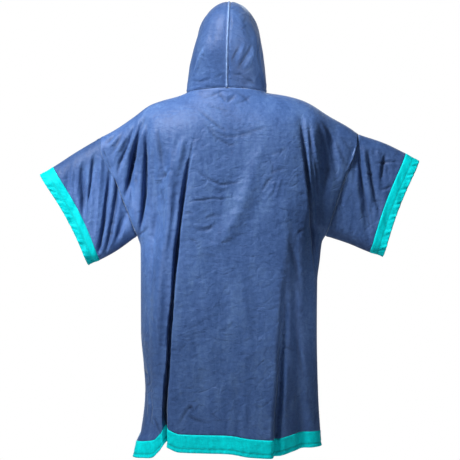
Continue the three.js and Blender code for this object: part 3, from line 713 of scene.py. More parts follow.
BACK_CREASES = creases(
    (3.2, 3, -84, -112, -96, -153, -108, -217, -123, -324, -135, -430, -146, -537,
     -154, -642, -162, -802, -166, -1000, -166, -1200),
    (3, 4, 192, -66, 199, -126, 212, -233, 222, -324, 230, -430, 236, -500),
    (3, 3.4, 216, -84, 222, -147, 238, -217, 244, -300),
    (3, 3.6, -222, -66, -238, -117, -253, -171, -269, -240, -276, -290),
    (3, 4, -220, -96, -221, -177, -221, -252, -229, -315, -238, -380),
    (3, -3, -207, -104, -214, -130, -216, -180), (5, -2.8, -240, -97, -266, -150, -283, -193, -294, -230),
    (5, -2.6, -272, -118, -304, -171, -312, -198), (4, -2.2, -299, -123, -323, -155),
    (5, -2.8, -236, -177, -238, -257, -240, -337), (3, 2.4, -259, -123, -294, -198, -302, -235),
    (3, 2, -286, -123, -315, -171), (3, 1.6, -251, -214, -240, -226, -230, -230),
    (6, -2.8, -214, -150, -209, -230, -214, -316), (7, 1.6, -176, -139, -174, -187),
    (8, -2.6, -140, -112, -150, -180, -162, -250), (3.3, 3.4, -26, -8, -12, -24, -3, -36),
    (3.3, 3.4, -4, -36, 4, -28, 20, -12), (3.4, -1.6, -14, -8, -2, -20, 8, -10),
    (3.6, 1.6, -72, -22, -40, -14, -14, -4), (3.6, 1.8, 20, -6, 44, -20, 60, -40),
    (2.6, 1.8, 16, -41, 43, -30, 64, -14), (2.8, 2.2, -80, -57, -53, -78, -21, -105, 0, -115),
    (2.6, 2, -69, -89, -37, -115, -5, -129, 43, -123, 75, -118),
    (2.6, 2.2, -64, -97, -32, -131, 5, -150, 32, -142), (2.6, 1.8, -5, -105, 43, -118, 85, -107, 107, -99),
    (3, 1.4, -60, -40, -30, -50, 6, -64), (2.6, 1.8, 160, -158, 139, -169, 112, -174),
    (2.6, 1.2, 60, -180, 84, -200, 116, -196),
    (2.4, 1.9, -116, -310, -92, -299, -69, -298, -40, -293, -21, -295, 24, -288),
    (3, 2.4, -91, -211, -59, -238, -21, -257, 16, -252, 43, -244),
    (2.6, -1.4, -84, -226, -54, -250, -18, -268, 12, -264),
    (2.3, 2.1, -91, -368, -80, -377, -64, -378, -48, -373, -38, -362, -27, -357),
    (2.6, -1.8, -96, -364, -70, -367, -40, -362), (2.6, 1.8, -107, -398, -91, -404, -75, -420),
    (2.8, 1.8, -66, -350, -40, -338, -14, -340), (3, 1.6, -50, -404, -16, -412, 20, -402),
    (3, 1.2, -96, -450, -60, -442, -20, -450), (2.6, 1.8, -118, -336, -104, -331, -90, -336),
    (2.8, 2.4, 112, -227, 133, -217, 160, -209), (3, 2.4, 85, -281, 107, -244, 123, -233),
    (3.4, -2.4, 128, -292, 133, -260, 144, -233), (3.4, -2.2, 96, -300, 118, -270, 126, -240),
    (3, 1.6, 110, -190, 120, -214, 112, -236), (2.8, 2.2, 182, -388, 196, -378, 208, -377),
    (2.6, 3, -195, -233, -171, -235, -155, -217, -147, -219), (2.6, 2, -197, -249, -186, -252, -172, -247),
    (2.6, 2.6, -176, -217, -170, -228, -166, -238), (2.6, -2.4, -160, -212, -152, -209, -146, -216),
    (3, 1.6, -182, -268, -176, -290, -180, -310), (5, 2.6, -190, -99, -182, -163, -176, -206),
    (7, -4.2, -120, -132, -126, -179, -134, -217), (6, -3.4, -147, -250, -155, -345, -166, -430),
    (17, -6, -188, -380, -192, -560, -195, -690, -197, -790, -204, -900),
    (11, -4.4, -112, -129, -136, -177, -156, -257, -170, -364, -178, -470),
    (2.6, 2.4, -222, -800, -214, -796, -204, -784), (3, -2.4, -218, -812, -212, -850, -218, -890),
    (3, 2.2, -208, -820, -204, -860, -212, -905), (3, 2, -200, -880, -190, -905, -180, -925),
    (5, 2.2, -168, -240, -172, -320, -176, -400),
    (20, -5.6, 96, -142, 64, -233, 32, -324, -5, -388, -40, -432),
    (2.8, 2.6, -101, -847, -112, -858, -133, -898), (2.6, 2.6, -106, -852, -98, -846, -90, -862),
    (2.8, 2.2, -112, -866, -84, -880, -53, -890), (2.8, 1.6, -46, -858, -30, -880, -8, -886),
    (2.6, -1.8, -80, -830, -86, -844, -94, -850), (2.6, 2.6, -230, -752, -226, -768, -216, -776),
    (2.8, -2, -222, -742, -216, -760, -214, -790), (22, 2.4, -60, -420, -16, -520, 6, -640),
    (20, 2.2, 60, -480, 74, -600, 70, -760), (16, 2, -90, -640, -66, -740, -66, -850),
    (10, 1.8, 20, -760, 30, -840, 28, -930), (8, 1.6, 52, -790, 58, -850, 56, -920),
    (6, 2.4, 160, -400, 182, -470, 196, -560), (3, 2.6, 142, -672, 152, -690, 180, -700),
    (6, 2.4, 182, -660, 192, -720, 206, -780), (7, -2.6, 146, -640, 154, -760, 150, -900),
    (2.8, 3.2, -330, -144, -320, -130, -308, -120), (3.2, 2.4, -316, -160, -300, -136, -284, -110),
    (3.2, 2.2, -296, -176, -282, -150, -272, -120), (4.4, -3.4, -206, -100, -207, -200, -212, -330),
    (4, -3, -232, -100, -240, -140, -246, -200), (4, -2.4, -262, -250, -256, -300, -252, -350),
    (2.6, 2.2, -240, -250, -250, -240, -258, -246), (7, -2.4, 226, -120, 245, -200, 252, -300),
    (4, 2.6, 290, -130, 306, -170, 330, -220), (3.2, 2, 304, -120, 324, -150, 342, -176),
    (4, 2.4, 250, -80, 272, -110, 288, -150),
)
LEFT_SLEEVE_CREASES = creases(
    (3.4, 3.2, -322, -225, -331, -293, -343, -380, -353, -440),
    (3.4, 1.8, -388, -200, -394, -293, -390, -345), (3.6, 1.6, -360, -168, -374, -228, -382, -315),
    (3.4, 2.6, -300, -228, -306, -315, -322, -401, -336, -448), (6, -4, -342, -160, -350, -266, -362, -400),
    (6, -4, -404, -190, -410, -280, -400, -370), (6, -3.6, -308, -190, -318, -290, -336, -430),
    (5, -3.6, -372, -170, -382, -260, -388, -350), (7, -3, -424, -200, -428, -260, -420, -320),
    (6, -3, -286, -250, -298, -340, -320, -430), (4.7, 1.5, -396, -187, -402, -243, -410, -305),
    (3.1, 1.9, -324, -357, -312, -357, -300, -362), (3.1, 1.8, -334, -382, -322, -386, -310, -389),
    (7, 2.6, -430, -180, -433, -232, -430, -290), (8, 2.4, -440, -300, -428, -350, -410, -400),
    (9, -2.4, -372, -200, -376, -278, -372, -350),
)
RIGHT_SLEEVE_CREASES = creases(
    (3, 3.2, 355, -140, 360, -228, 377, -315, 390, -385), (3, 2.8, 379, -156, 390, -239, 406, -320),
    (4.4, -2.4, 368, -150, 376, -230, 392, -320), (3, 2.4, 428, -166, 420, -200, 414, -240),
    (2.7, 1.9, 393, -198, 433, -192, 478, -192), (2.7, 1.9, 399, -160, 408, -158, 418, -162),
    (2.7, 1.8, 368, -226, 382, -224, 396, -226), (3.1, 1.9, 415, -267, 430, -265, 445, -256),
    (2.7, 1.6, 393, -300, 405, -298, 418, -300), (3.1, 1.9, 429, -198, 432, -212, 432, -228),
    (7, 2.6, 420, -300, 431, -340, 432, -380), (8, 2.4, 372, -250, 388, -318, 398, -380),
)
HOOD_CREASES = creases(
    (2.4, 2.8, 64, 124, 56, 104, 40, 80, 26, 54), (6, -3, 70, 118, 66, 96, 54, 74, 40, 52),
    (2.2, 2.2, 30, 112, 18, 92, 9, 72), (5, -2.4, 44, 124, 34, 96, 22, 66),
    (2.4, 1.9, 80, 130, 80, 100, 88, 60), (3.4, -2, 86, 110, 92, 70, 98, 30),
    (4.4, -4.6, -64, 116, -78, 84, -94, 42), (3.9, 1.3, -104, 30, -75, 24, -44, 30),
    (3.1, 1, -44, 30, -24, 37, -4, 42), (3.1, 1, -90, 6, -50, 10, -8, 8),
    (3.9, 1.8, 46, 30, 60, 24, 74, 16), (3.1, 1, 12, 40, 30, 40, 46, 32),
    (3.1, 2.1, 84, 50, 92, 32, 98, 16), (2.7, 2.4, 6, 224, 12, 220, 18, 222),
    (2.3, 1.8, 8, 200, 9, 180, 8, 160), (10, 2, -40, 176, -48, 142, -50, 110),
    (9, 2.4, 44, 190, 54, 160, 64, 130), (2, -1, 24, 196, 39, 206, 52, 214),
    (2, -1, 30, 160, 46, 176, 60, 190),
)
FRONT_OWN_CREASES = creases(
    (4.7, 2.1, -70, -100, -16, -122, 46, -124), (4.7, 1.9, -50, -160, 10, -174, 70, -164),
    (8, 2.8, -110, -300, -58, -284, 0, -282), (8, 2.8, 20, -330, 68, -303, 112, -262),
    (24, 2.4, -40, -420, -52, -560, -46, -700), (22, 2.4, 90, -500, 79, -640, 86, -780),
    (14, 2, -100, -780, -92, -852, -96, -930), (8, 2.6, -320, -150, -298, -200, -270, -250),
    (8, 2.6, 320, -150, 299, -208, 276, -260), (8, 2.6, 400, -200, 412, -262, 408, -330),
    (8, 2.6, -400, -210, -404, -270, -398, -330),
)

# The creases that the front takes over from the back, mirrored, are all but the main fold's
FRONT_CREASES = FRONT_OWN_CREASES + tuple(
    Crease(tuple((-x, z) for x, z in c.line), c.width, c.depth) for c in BACK_CREASES[1:])

# How pale the seam lines are from rubbed pile and painted highlight, and how dark from painted shade, by
# side
ARMHOLE_WEAR_AND_HIGHLIGHT = {Side.LEFT: 0.0, Side.RIGHT: 0.85}
ARMHOLE_SHADE = {Side.LEFT: 0.7, Side.RIGHT: 0.0}


@dataclass
class ClothGrid:
    """A grid of points of one sheet of cloth, in millimetres, with the way out of it."""

    points: Array
    outward: Array
    wear: Array
    crush: Array
    ring: bool = False

    @classmethod
    def of(cls, points: Points, outside: Array, ring: bool = False) -> "ClothGrid":
        """Make a grid.

        Args:
            points: x, y and z, each an array of rows and columns.
            outside: A rough way out, (x, y, z), that the true normals are turned to.
            ring: True where the last column is the first one again.

        Returns:
            The grid with its normals.
        """
        plain = np.zeros(points[0].shape)
        grid = cls(np.stack(points, axis=-1), np.zeros(1), plain, plain, ring)
        grid.find_outward(outside)
        return grid

    def find_outward(self, outside: Array | None = None) -> None:
        """Work out the normals again, on the side that outside or the old ones give."""
        padded = np.concatenate([self.points[:, -2:-1], self.points, self.points[:, 1:2]], 1)
        across = (padded[:, 2:] - padded[:, :-2]) if self.ring else np.gradient(self.points, axis=1)
        down = np.gradient(self.points, axis=0)
        normal = np.cross(across, down)
        normal /= np.maximum(np.linalg.norm(normal, axis=-1, keepdims=True), TINY)
        target = self.outward if outside is None else outside
        flip = np.sign((normal * target).sum(-1).sum())
        self.outward = normal * flip

    def along(self) -> Array:
        """Distance of each point from the first column, along its row."""
        return lengths(self.points, 1)

    def down(self) -> Array:
        """Distance of each point from the first row, down its column."""
        return lengths(self.points, 0)

    def press(self, inward: Array) -> None:
        """Move the points inwards by so many millimetres."""
        self.points = self.points - self.outward * inward[..., None]
        self.find_outward()

    def seam(self, distance: Array, roll: float = 0.9, wear: Array | float = 0.7,
             shade: Array | float = 0.0) -> None:
        """Shape the cloth beside a seam: a soft roll next to it, and a line on it made paler by rubbed pile
        and painted highlight, or darker by painted shade.

        Args:
            distance: Distance of each point from the seam.
            roll: Height of the roll.
            wear: How much paler the line is, from rubbed pile and painted highlight.
            shade: How much painted shade darkens it.
        """
        self.press(-roll * bell(distance - ROLL_AT, ROLL_WIDTH) * smooth(0, ROLL_WIDTH, distance))
        worn_and_highlit = bell(distance, WORN_AND_HIGHLIT_WIDTH)
        self.wear = np.maximum(self.wear, wear * worn_and_highlit)
        self.crush = np.maximum(self.crush, shade * worn_and_highlit)


@dataclass
class Maker:
    thickness: float = 1.7
    weld: float = 0.02
    looked_at: int = 400
    finishes: dict[Slot, bpy.types.Material] = field(default_factory=dict)

    def start(self, name: str, columns_count: int, rows_count: int) -> bpy.types.Object:
        """Add a flat grid with nothing else selected."""
        bpy.ops.object.select_all(action="DESELECT")
        bpy.ops.mesh.primitive_grid_add(x_subdivisions=columns_count, y_subdivisions=rows_count, size=2)
        sheet = bpy.context.object
        sheet.name = sheet.data.name = name
        return sheet

    def sheet(self, name: str, grid: ClothGrid, slot: Slot) -> bpy.types.Object:
        """Lay a flat grid on the cloth's form and give it its thickness.

        Args:
            name: The piece's name.
            grid: The form.
            slot: Its material slot.

        Returns:
            The finished object.
        """
        rows_count, columns_count = (n - 1 for n in grid.points.shape[:2])
        sheet = self.start(name, columns_count, rows_count)
        mesh = sheet.data
        flat = np.empty(3 * len(mesh.vertices))
        mesh.vertices.foreach_get("co", flat)
        flat = flat.reshape(-1, 3)
        i = np.rint((flat[:, 0] + 1) / 2 * columns_count).astype(int)
        j = np.rint((1 - flat[:, 1]) / 2 * rows_count).astype(int)
        mesh.vertices.foreach_set("co", (grid.points[j, i] * MM).ravel())
        for key, values in (("wear", grid.wear), ("crush", grid.crush)):
            attribute = mesh.attributes.new(key, "FLOAT", "POINT")
            attribute.data.foreach_set("value", values[j, i])
        mesh.update()
        self.face_out(sheet, grid.outward[j, i])
        self.select(sheet)
        if grid.ring:
            self.edit(partial(bpy.ops.mesh.remove_doubles, threshold=self.weld * MM))
        thick = sheet.modifiers.new("cloth", "SOLIDIFY")
        thick.thickness = self.thickness * MM
        thick.offset = -1
        bpy.ops.object.modifier_apply(modifier=thick.name)
        bpy.ops.object.shade_smooth()
        mesh.materials.clear()
        mesh.materials.append(self.finishes[slot])
        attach(sheet, "root")
        return sheet

    def select(self, thing: bpy.types.Object) -> None:
        """Select one object alone and make it active."""
        bpy.ops.object.select_all(action="DESELECT")
        thing.select_set(True)
        bpy.context.view_layer.objects.active = thing

    def edit(self, change: Callable[[], object]) -> None:
        """Change the whole mesh of the active object in edit mode."""
        bpy.ops.object.mode_set(mode="EDIT")
        bpy.ops.mesh.select_all(action="SELECT")
        change()
        bpy.ops.object.mode_set(mode="OBJECT")

    def face_out(self, sheet: bpy.types.Object, outward: Array) -> None:
        """Turn the faces round where most of those looked at face inwards."""
        mesh = sheet.data
        total = 0.0
        step = max(1, len(mesh.polygons) // self.looked_at)
        for polygon in list(mesh.polygons)[::step]:
            total += polygon.normal.dot(Vector(outward[polygon.vertices[0]]))
        if total < 0:
            self.select(sheet)
            self.edit(bpy.ops.mesh.flip_normals)


@dataclass(frozen=True)
class Stitching:
    """Short stitches of thread in a row on the cloth."""

    length: float = 2.6
    pitch: float = 3.7
    radius: float = 0.42
    lift: float = 0.25

    def make(self, maker: Maker, name: str, lines: Sequence[tuple[Array, Array]],
             finish: bpy.types.Material, slot: Slot) -> bpy.types.Object:
        """Sew rows of stitches.

        Args:
            maker: The maker.
            name: The piece's name.
            lines: For each row, its points and the ways out of the cloth there.
            finish: The thread's material.
            slot: The material slot; not used.

        Returns:
            One object with all the stitches.
        """
        bpy.ops.object.select_all(action="DESELECT")
        bpy.ops.mesh.primitive_uv_sphere_add(segments=6, ring_count=4, radius=1)
        sewn = bpy.context.object
        sewn.name = sewn.data.name = name
        one = np.array([v.co for v in sewn.data.vertices]) * (self.radius, self.radius, self.length / 2)
        faces = [tuple(p.vertices) for p in sewn.data.polygons]
        places, all_faces = [], []
        for points, ways in lines:
            reach = lengths(points, 0)
            for at in np.arange(self.pitch, reach[-1] - self.pitch, self.pitch):
                here, ahead, way = (np.array([np.interp(place, reach, values[:, k]) for k in range(3)])
                                    for place, values in ((at, points), (at + 1, points), (at, ways)))
                way /= np.linalg.norm(way)
                thread = ahead - here
                thread /= max(np.linalg.norm(thread), TINY)
                beside = np.cross(thread, way)
                turned = one @ np.array([beside, way, thread])
                base = len(places) * len(one)
                places.append(turned + here + way * self.lift)
                all_faces += [tuple(base + v for v in f) for f in faces]
        mesh = bpy.data.meshes.new(name)
        mesh.from_pydata((np.concatenate(places) * MM).tolist(), [], all_faces)
        sewn.data = mesh
        maker.select(sewn)
        bpy.ops.object.shade_smooth()
        mesh.materials.append(finish)
        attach(sewn, "root")
        return sewn


class Socket:
    """A node's output socket on which Python's operators add Math nodes."""

    def __init__(self, tree: "NodeTree", output: bpy.types.NodeSocket) -> None:
        """Keep the tree and the output."""
        self.tree = tree
        self.output = output

    def math(self, operation: str, *values: "Socket | float") -> "Socket":
        """One Math node on these values."""
        return self.tree.add("ShaderNodeMath", {"operation": operation}, dict(enumerate(values)))[0]

    def __add__(self, other: "Socket | float") -> "Socket":
        """Sum."""
        return self.math("ADD", self, other)

    def __sub__(self, other: "Socket | float") -> "Socket":
        """Difference."""
        return self.math("SUBTRACT", self, other)

    def __rsub__(self, other: float) -> "Socket":
        """Difference from a number."""
        return self.math("SUBTRACT", other, self)

    def __mul__(self, other: "Socket | float") -> "Socket":
        """Product."""
        return self.math("MULTIPLY", self, other)

    __radd__ = __add__

    def at_least(self, value: float) -> "Socket":
        """The larger of the two."""
        return self.math("MAXIMUM", self, value)

    def size(self) -> "Socket":
        """The value without its sign."""
        return self.math("ABSOLUTE", self)


@dataclass
class NodeTree:
    """The node tree of one material."""

    material: bpy.types.Material

    @classmethod
    def start(cls, name: str) -> "NodeTree":
        """Begin a material of its own."""
        material = bpy.data.materials.new(name)
        material.use_nodes = True
        return cls(material)

    def add(self, kind: str, settings: dict | None = None, inputs: dict | None = None) -> list[Socket]:
        """Add a node.

        Args:
            kind: Its type.
            settings: Its properties, set first. Stops are a ramp's places and colours.
            inputs: Values or links of its sockets, by name or number.

        Returns:
            Its outputs.
        """
        node = self.material.node_tree.nodes.new(kind)
        for key, value in (settings or {}).items():
            if key == "stops":
                elements = node.color_ramp.elements
                while len(elements) < len(value):
                    elements.new(0.5)
                for element, (place, colour) in zip(elements, value):
                    element.position, element.color = place, (*colour, 1)
            else:
                setattr(node, key, value)
        self.fill(node, inputs or {})
        return [Socket(self, o) for o in node.outputs]

    def fill(self, node: bpy.types.Node, inputs: dict) -> None:
        """Give a node's sockets their values or links."""
        for key, value in inputs.items():
            if isinstance(value, Socket):
                self.material.node_tree.links.new(value.output, node.inputs[key])
            else:
                node.inputs[key].default_value = value

    def finish(self, inputs: dict) -> bpy.types.Material:
        """Fill in the surface shader and hand over the material."""
        self.fill(self.material.node_tree.nodes["Principled BSDF"], inputs)
        return self.material

    def place(self) -> Socket:
        """Object coordinates."""
        return self.add("ShaderNodeTexCoord")[3]

    def turned(self, place: Socket, scale: Triple, turn: float) -> Socket:
        """Coordinates that are stretched and turned about Y."""
        return self.add("ShaderNodeMapping", inputs={"Vector": place, "Scale": scale,
                                                     "Rotation": (0, turn, 0)})[0]

    def noise(self, place: Socket, scale: float, detail: float, roughness: float = 0.5,
              distortion: float = 0.0) -> Socket:
        """The value of a noise texture."""
        return self.add("ShaderNodeTexNoise", {"noise_dimensions": "3D"},
                        {"Vector": place, "Scale": scale, "Detail": detail, "Roughness": roughness,
                         "Distortion": distortion})[0]

    def mix(self, share: Socket, under: Socket, colour: Sequence[float]) -> Socket:
        """A colour laid over another one."""
        return self.add("ShaderNodeMix", {"data_type": "RGBA"}, {0: share, 6: under, 7: (*colour, 1)})[2]


@dataclass(frozen=True)
class BrushedCloth:
    """Microfibre velour: a short pile that brushes lighter and darker in random patches, with painted shade
    and painted highlight laid on from the cloth's attributes.
    """

    name: str
    deep: Triple
    middle: Triple
    pale: Triple
    worn_and_highlit: Triple
    sheen: float = 0.22
    sheen_tint: Triple = (0.7, 0.84, 1.0)
    sheen_roughness: float = 0.35
    ridge_highlight: Triple = (0.14, 0.24, 0.48)
    ridge_highlight_share: float = 0.85
    painted_shade_share: float = 0.65
    painted_shade_depth: float = 0.45
    worn_and_highlit_share: float = 0.75
    roughness: float = 0.57
    roughness_spread: float = 0.25
    specular: float = 0.28
    nap_shares: tuple[float, ...] = (0.36, 0.28, 0.28, 0.08)
    nap_stops: Triple = (0.38, 0.5, 0.64)
    patch_scale: float = 17
    streak_scale: float = 46
    fleck_scale: float = 150
    fibre_scale: float = 620
    wrinkle_scale: float = 62
    vein_scale: float = 12
    vein_fineness: float = 22
    vein_patch: float = 0.3
    wrinkle: float = 0.0029
    crush: float = 0.0008
    streak: float = 0.0008
    fibre: float = 0.0002
    vein: float = 0.0026

    def make(self) -> bpy.types.Material:
        """The material, on Object coordinates."""
        tree = NodeTree.start(self.name)
        place = tree.place()
        nap_way = tree.turned(place, (1.3, 1, 0.34), 0.12)
        crush_way = tree.turned(place, (0.7, 0.8, 1), -0.12)
        patches = tree.noise(nap_way, self.patch_scale, 3, 0.55, 0.6)
        streaks = tree.noise(nap_way, self.streak_scale, 4, 0.6, 1.2)
        fibres = tree.noise(place, self.fibre_scale, 2, 0.6)
        flecks = tree.noise(crush_way, self.fleck_scale, 3, 0.65, 0.5)
        parts = zip((patches, streaks, flecks, fibres), self.nap_shares)
        nap_and_shading = reduce(add, (noise * share for noise, share in parts))
        colour = tree.add("ShaderNodeValToRGB", {"stops": [
            (self.nap_stops[0], self.deep), (self.nap_stops[1], self.middle),
            (self.nap_stops[2], self.pale)]}, {"Fac": nap_and_shading})[0]
        # Painted highlight on ridges; painted shade in troughs, deep folds, puckers, along the left
        # sleeve's top, over the left cuff and on the hood's upper part; pale seam lines of rubbed pile and
        # painted highlight
        wear = tree.add("ShaderNodeAttribute", {"attribute_name": "wear"})[2]
        crush = tree.add("ShaderNodeAttribute", {"attribute_name": "crush"})[2]
        brushed = tree.mix((crush * -1.0).at_least(0.0) * self.ridge_highlight_share, colour, self.ridge_highlight)
        painted_shading = tree.mix(crush.at_least(0.0) * self.painted_shade_share, brushed,
                           [self.painted_shade_depth * c for c in self.deep])
        mixed = tree.mix(wear * self.worn_and_highlit_share, painted_shading, self.worn_and_highlit)
        wrinkles = tree.noise(crush_way, self.wrinkle_scale, 3, 0.5, 0.8)
        folds = tree.noise(crush_way, self.vein_scale, 2, 0.5, 1.1)
        veins = (1 - (folds - 0.5).size() * self.vein_fineness).at_least(0.0) * (patches - self.vein_patch)
        height = (wrinkles * self.wrinkle + flecks * self.crush + fibres * self.fibre
                  + streaks * self.streak - veins * self.vein)
        bump = tree.add("ShaderNodeBump", inputs={"Strength": 0.75, "Distance": 1.0, "Height": height})[0]
        return tree.finish({
            "Base Color": mixed,
            "Roughness": self.roughness + (nap_and_shading - 0.5) * self.roughness_spread,
            "Normal": bump,
            "Sheen Weight": self.sheen,
            "Sheen Roughness": self.sheen_roughness,
            "Sheen Tint": (*self.sheen_tint, 1),
            "Specular IOR Level": self.specular,
        })


@dataclass(frozen=True)
class Thread:
    """Sewing thread with a soft twist."""

    name: str
    colour: Triple
    shade: float = 0.7
    twist_scale: float = 900
    roughness: float = 0.6

    def make(self) -> bpy.types.Material:
        """The material, on Object coordinates."""
        tree = NodeTree.start(self.name)
        twist = tree.noise(tree.place(), self.twist_scale, 1)
        shade = tuple(self.shade * c for c in self.colour)
        colour = tree.add("ShaderNodeValToRGB", {"stops": [(0.3, shade), (0.7, self.colour)]},
                          {"Fac": twist})[0]
        return tree.finish({"Base Color": colour, "Roughness": self.roughness})


BLUE_CLOTH = BrushedCloth(
    "brushed blue microfibre",
    deep=(0.031, 0.075, 0.215),
    middle=(0.05, 0.109, 0.285),
    pale=(0.081, 0.158, 0.352),
    worn_and_highlit=(0.34, 0.5, 0.82),
)
TEAL_CLOTH = BrushedCloth(
    "teal band cloth",
    deep=(0.0, 0.62, 0.66),
    middle=(0.0, 0.76, 0.8),
    pale=(0.0, 0.92, 0.95),
    worn_and_highlit=(0.05, 0.7, 0.72),
    ridge_highlight=(0.0, 0.95, 0.95),
    vein=0.0007,
    sheen=0.0,
    roughness=0.6,
    specular=0.08,
    patch_scale=30,
    streak_scale=80,
    wrinkle=0.0012,
)


@dataclass(frozen=True)
class Band:
    """How a contrast band lies: sewn on at its seam, and puckered along and below its stitch line.

    The line's place and the settling are shares of the band's depth, the rest is in millimetres.
    Each wave of the puckers has its lean, its pitch and its phase.
    """

    line: float
    waves: tuple[Triple, ...]
    height: float
    settle: float
    line_width: float
    seam_width: float
    edge: float
    reach: float = math.inf
    above: float = 0.0
    line_height: float = 0.9
    clear: float = 4
    seam_at: float = 5
    seam_height: float = 0.8
    edge_width: float = 3
    full_relief: float = 2.4
    thread_crush: float = 0.5
    thread_width: float = 1.6
    darkest_trough_shade: float = 0.8

    def shape(self, grid: ClothGrid, shade: float = 0.0) -> None:
        """Shape the band's cloth.

        Args:
            grid: The band, with its first row at the seam.
            shade: How much painted shade darkens the whole band.
        """
        drop = grid.down()
        along = grid.along()
        depth = drop[-1:, :]
        off = drop - self.line * depth
        pucker = sum(np.sin((along + lean * drop) / pitch + phase)
                     for lean, pitch, phase in self.waves) * self.height
        below = smooth(0, 1, off / (self.settle * depth))
        relief = (self.line_height * bell(off, self.line_width)
                  - self.seam_height * bell(drop - self.seam_at, self.seam_width))
        relief += pucker * bell(off, self.reach) * (self.above + below)
        # Painted shade in the puckers' troughs, and a darker stitch line
        crush = relief / self.full_relief + self.thread_crush * bell(off, self.thread_width)
        grid.crush = np.clip(np.clip(crush, 0, self.darkest_trough_shade) + shade, 0, 1)
        relief -= self.edge * bell(depth - drop, self.edge_width)
        grid.press(relief * smooth(0, self.clear, drop))


HEM_BAND = Band(line=0.76, waves=((1, 2.9, 0), (0, 4.3, 1.7)), height=0.7, settle=0.25, line_width=2.4,
                seam_width=4.5, edge=0.7, reach=6, above=0.4)
CUFF_BAND = Band(line=0.52, waves=((0.8, 3.6, 0), (0, 5.7, 0.6), (0.8, 2.3, 2)), height=0.85,
                 settle=0.3, line_width=2.2, seam_width=4, edge=0.6)


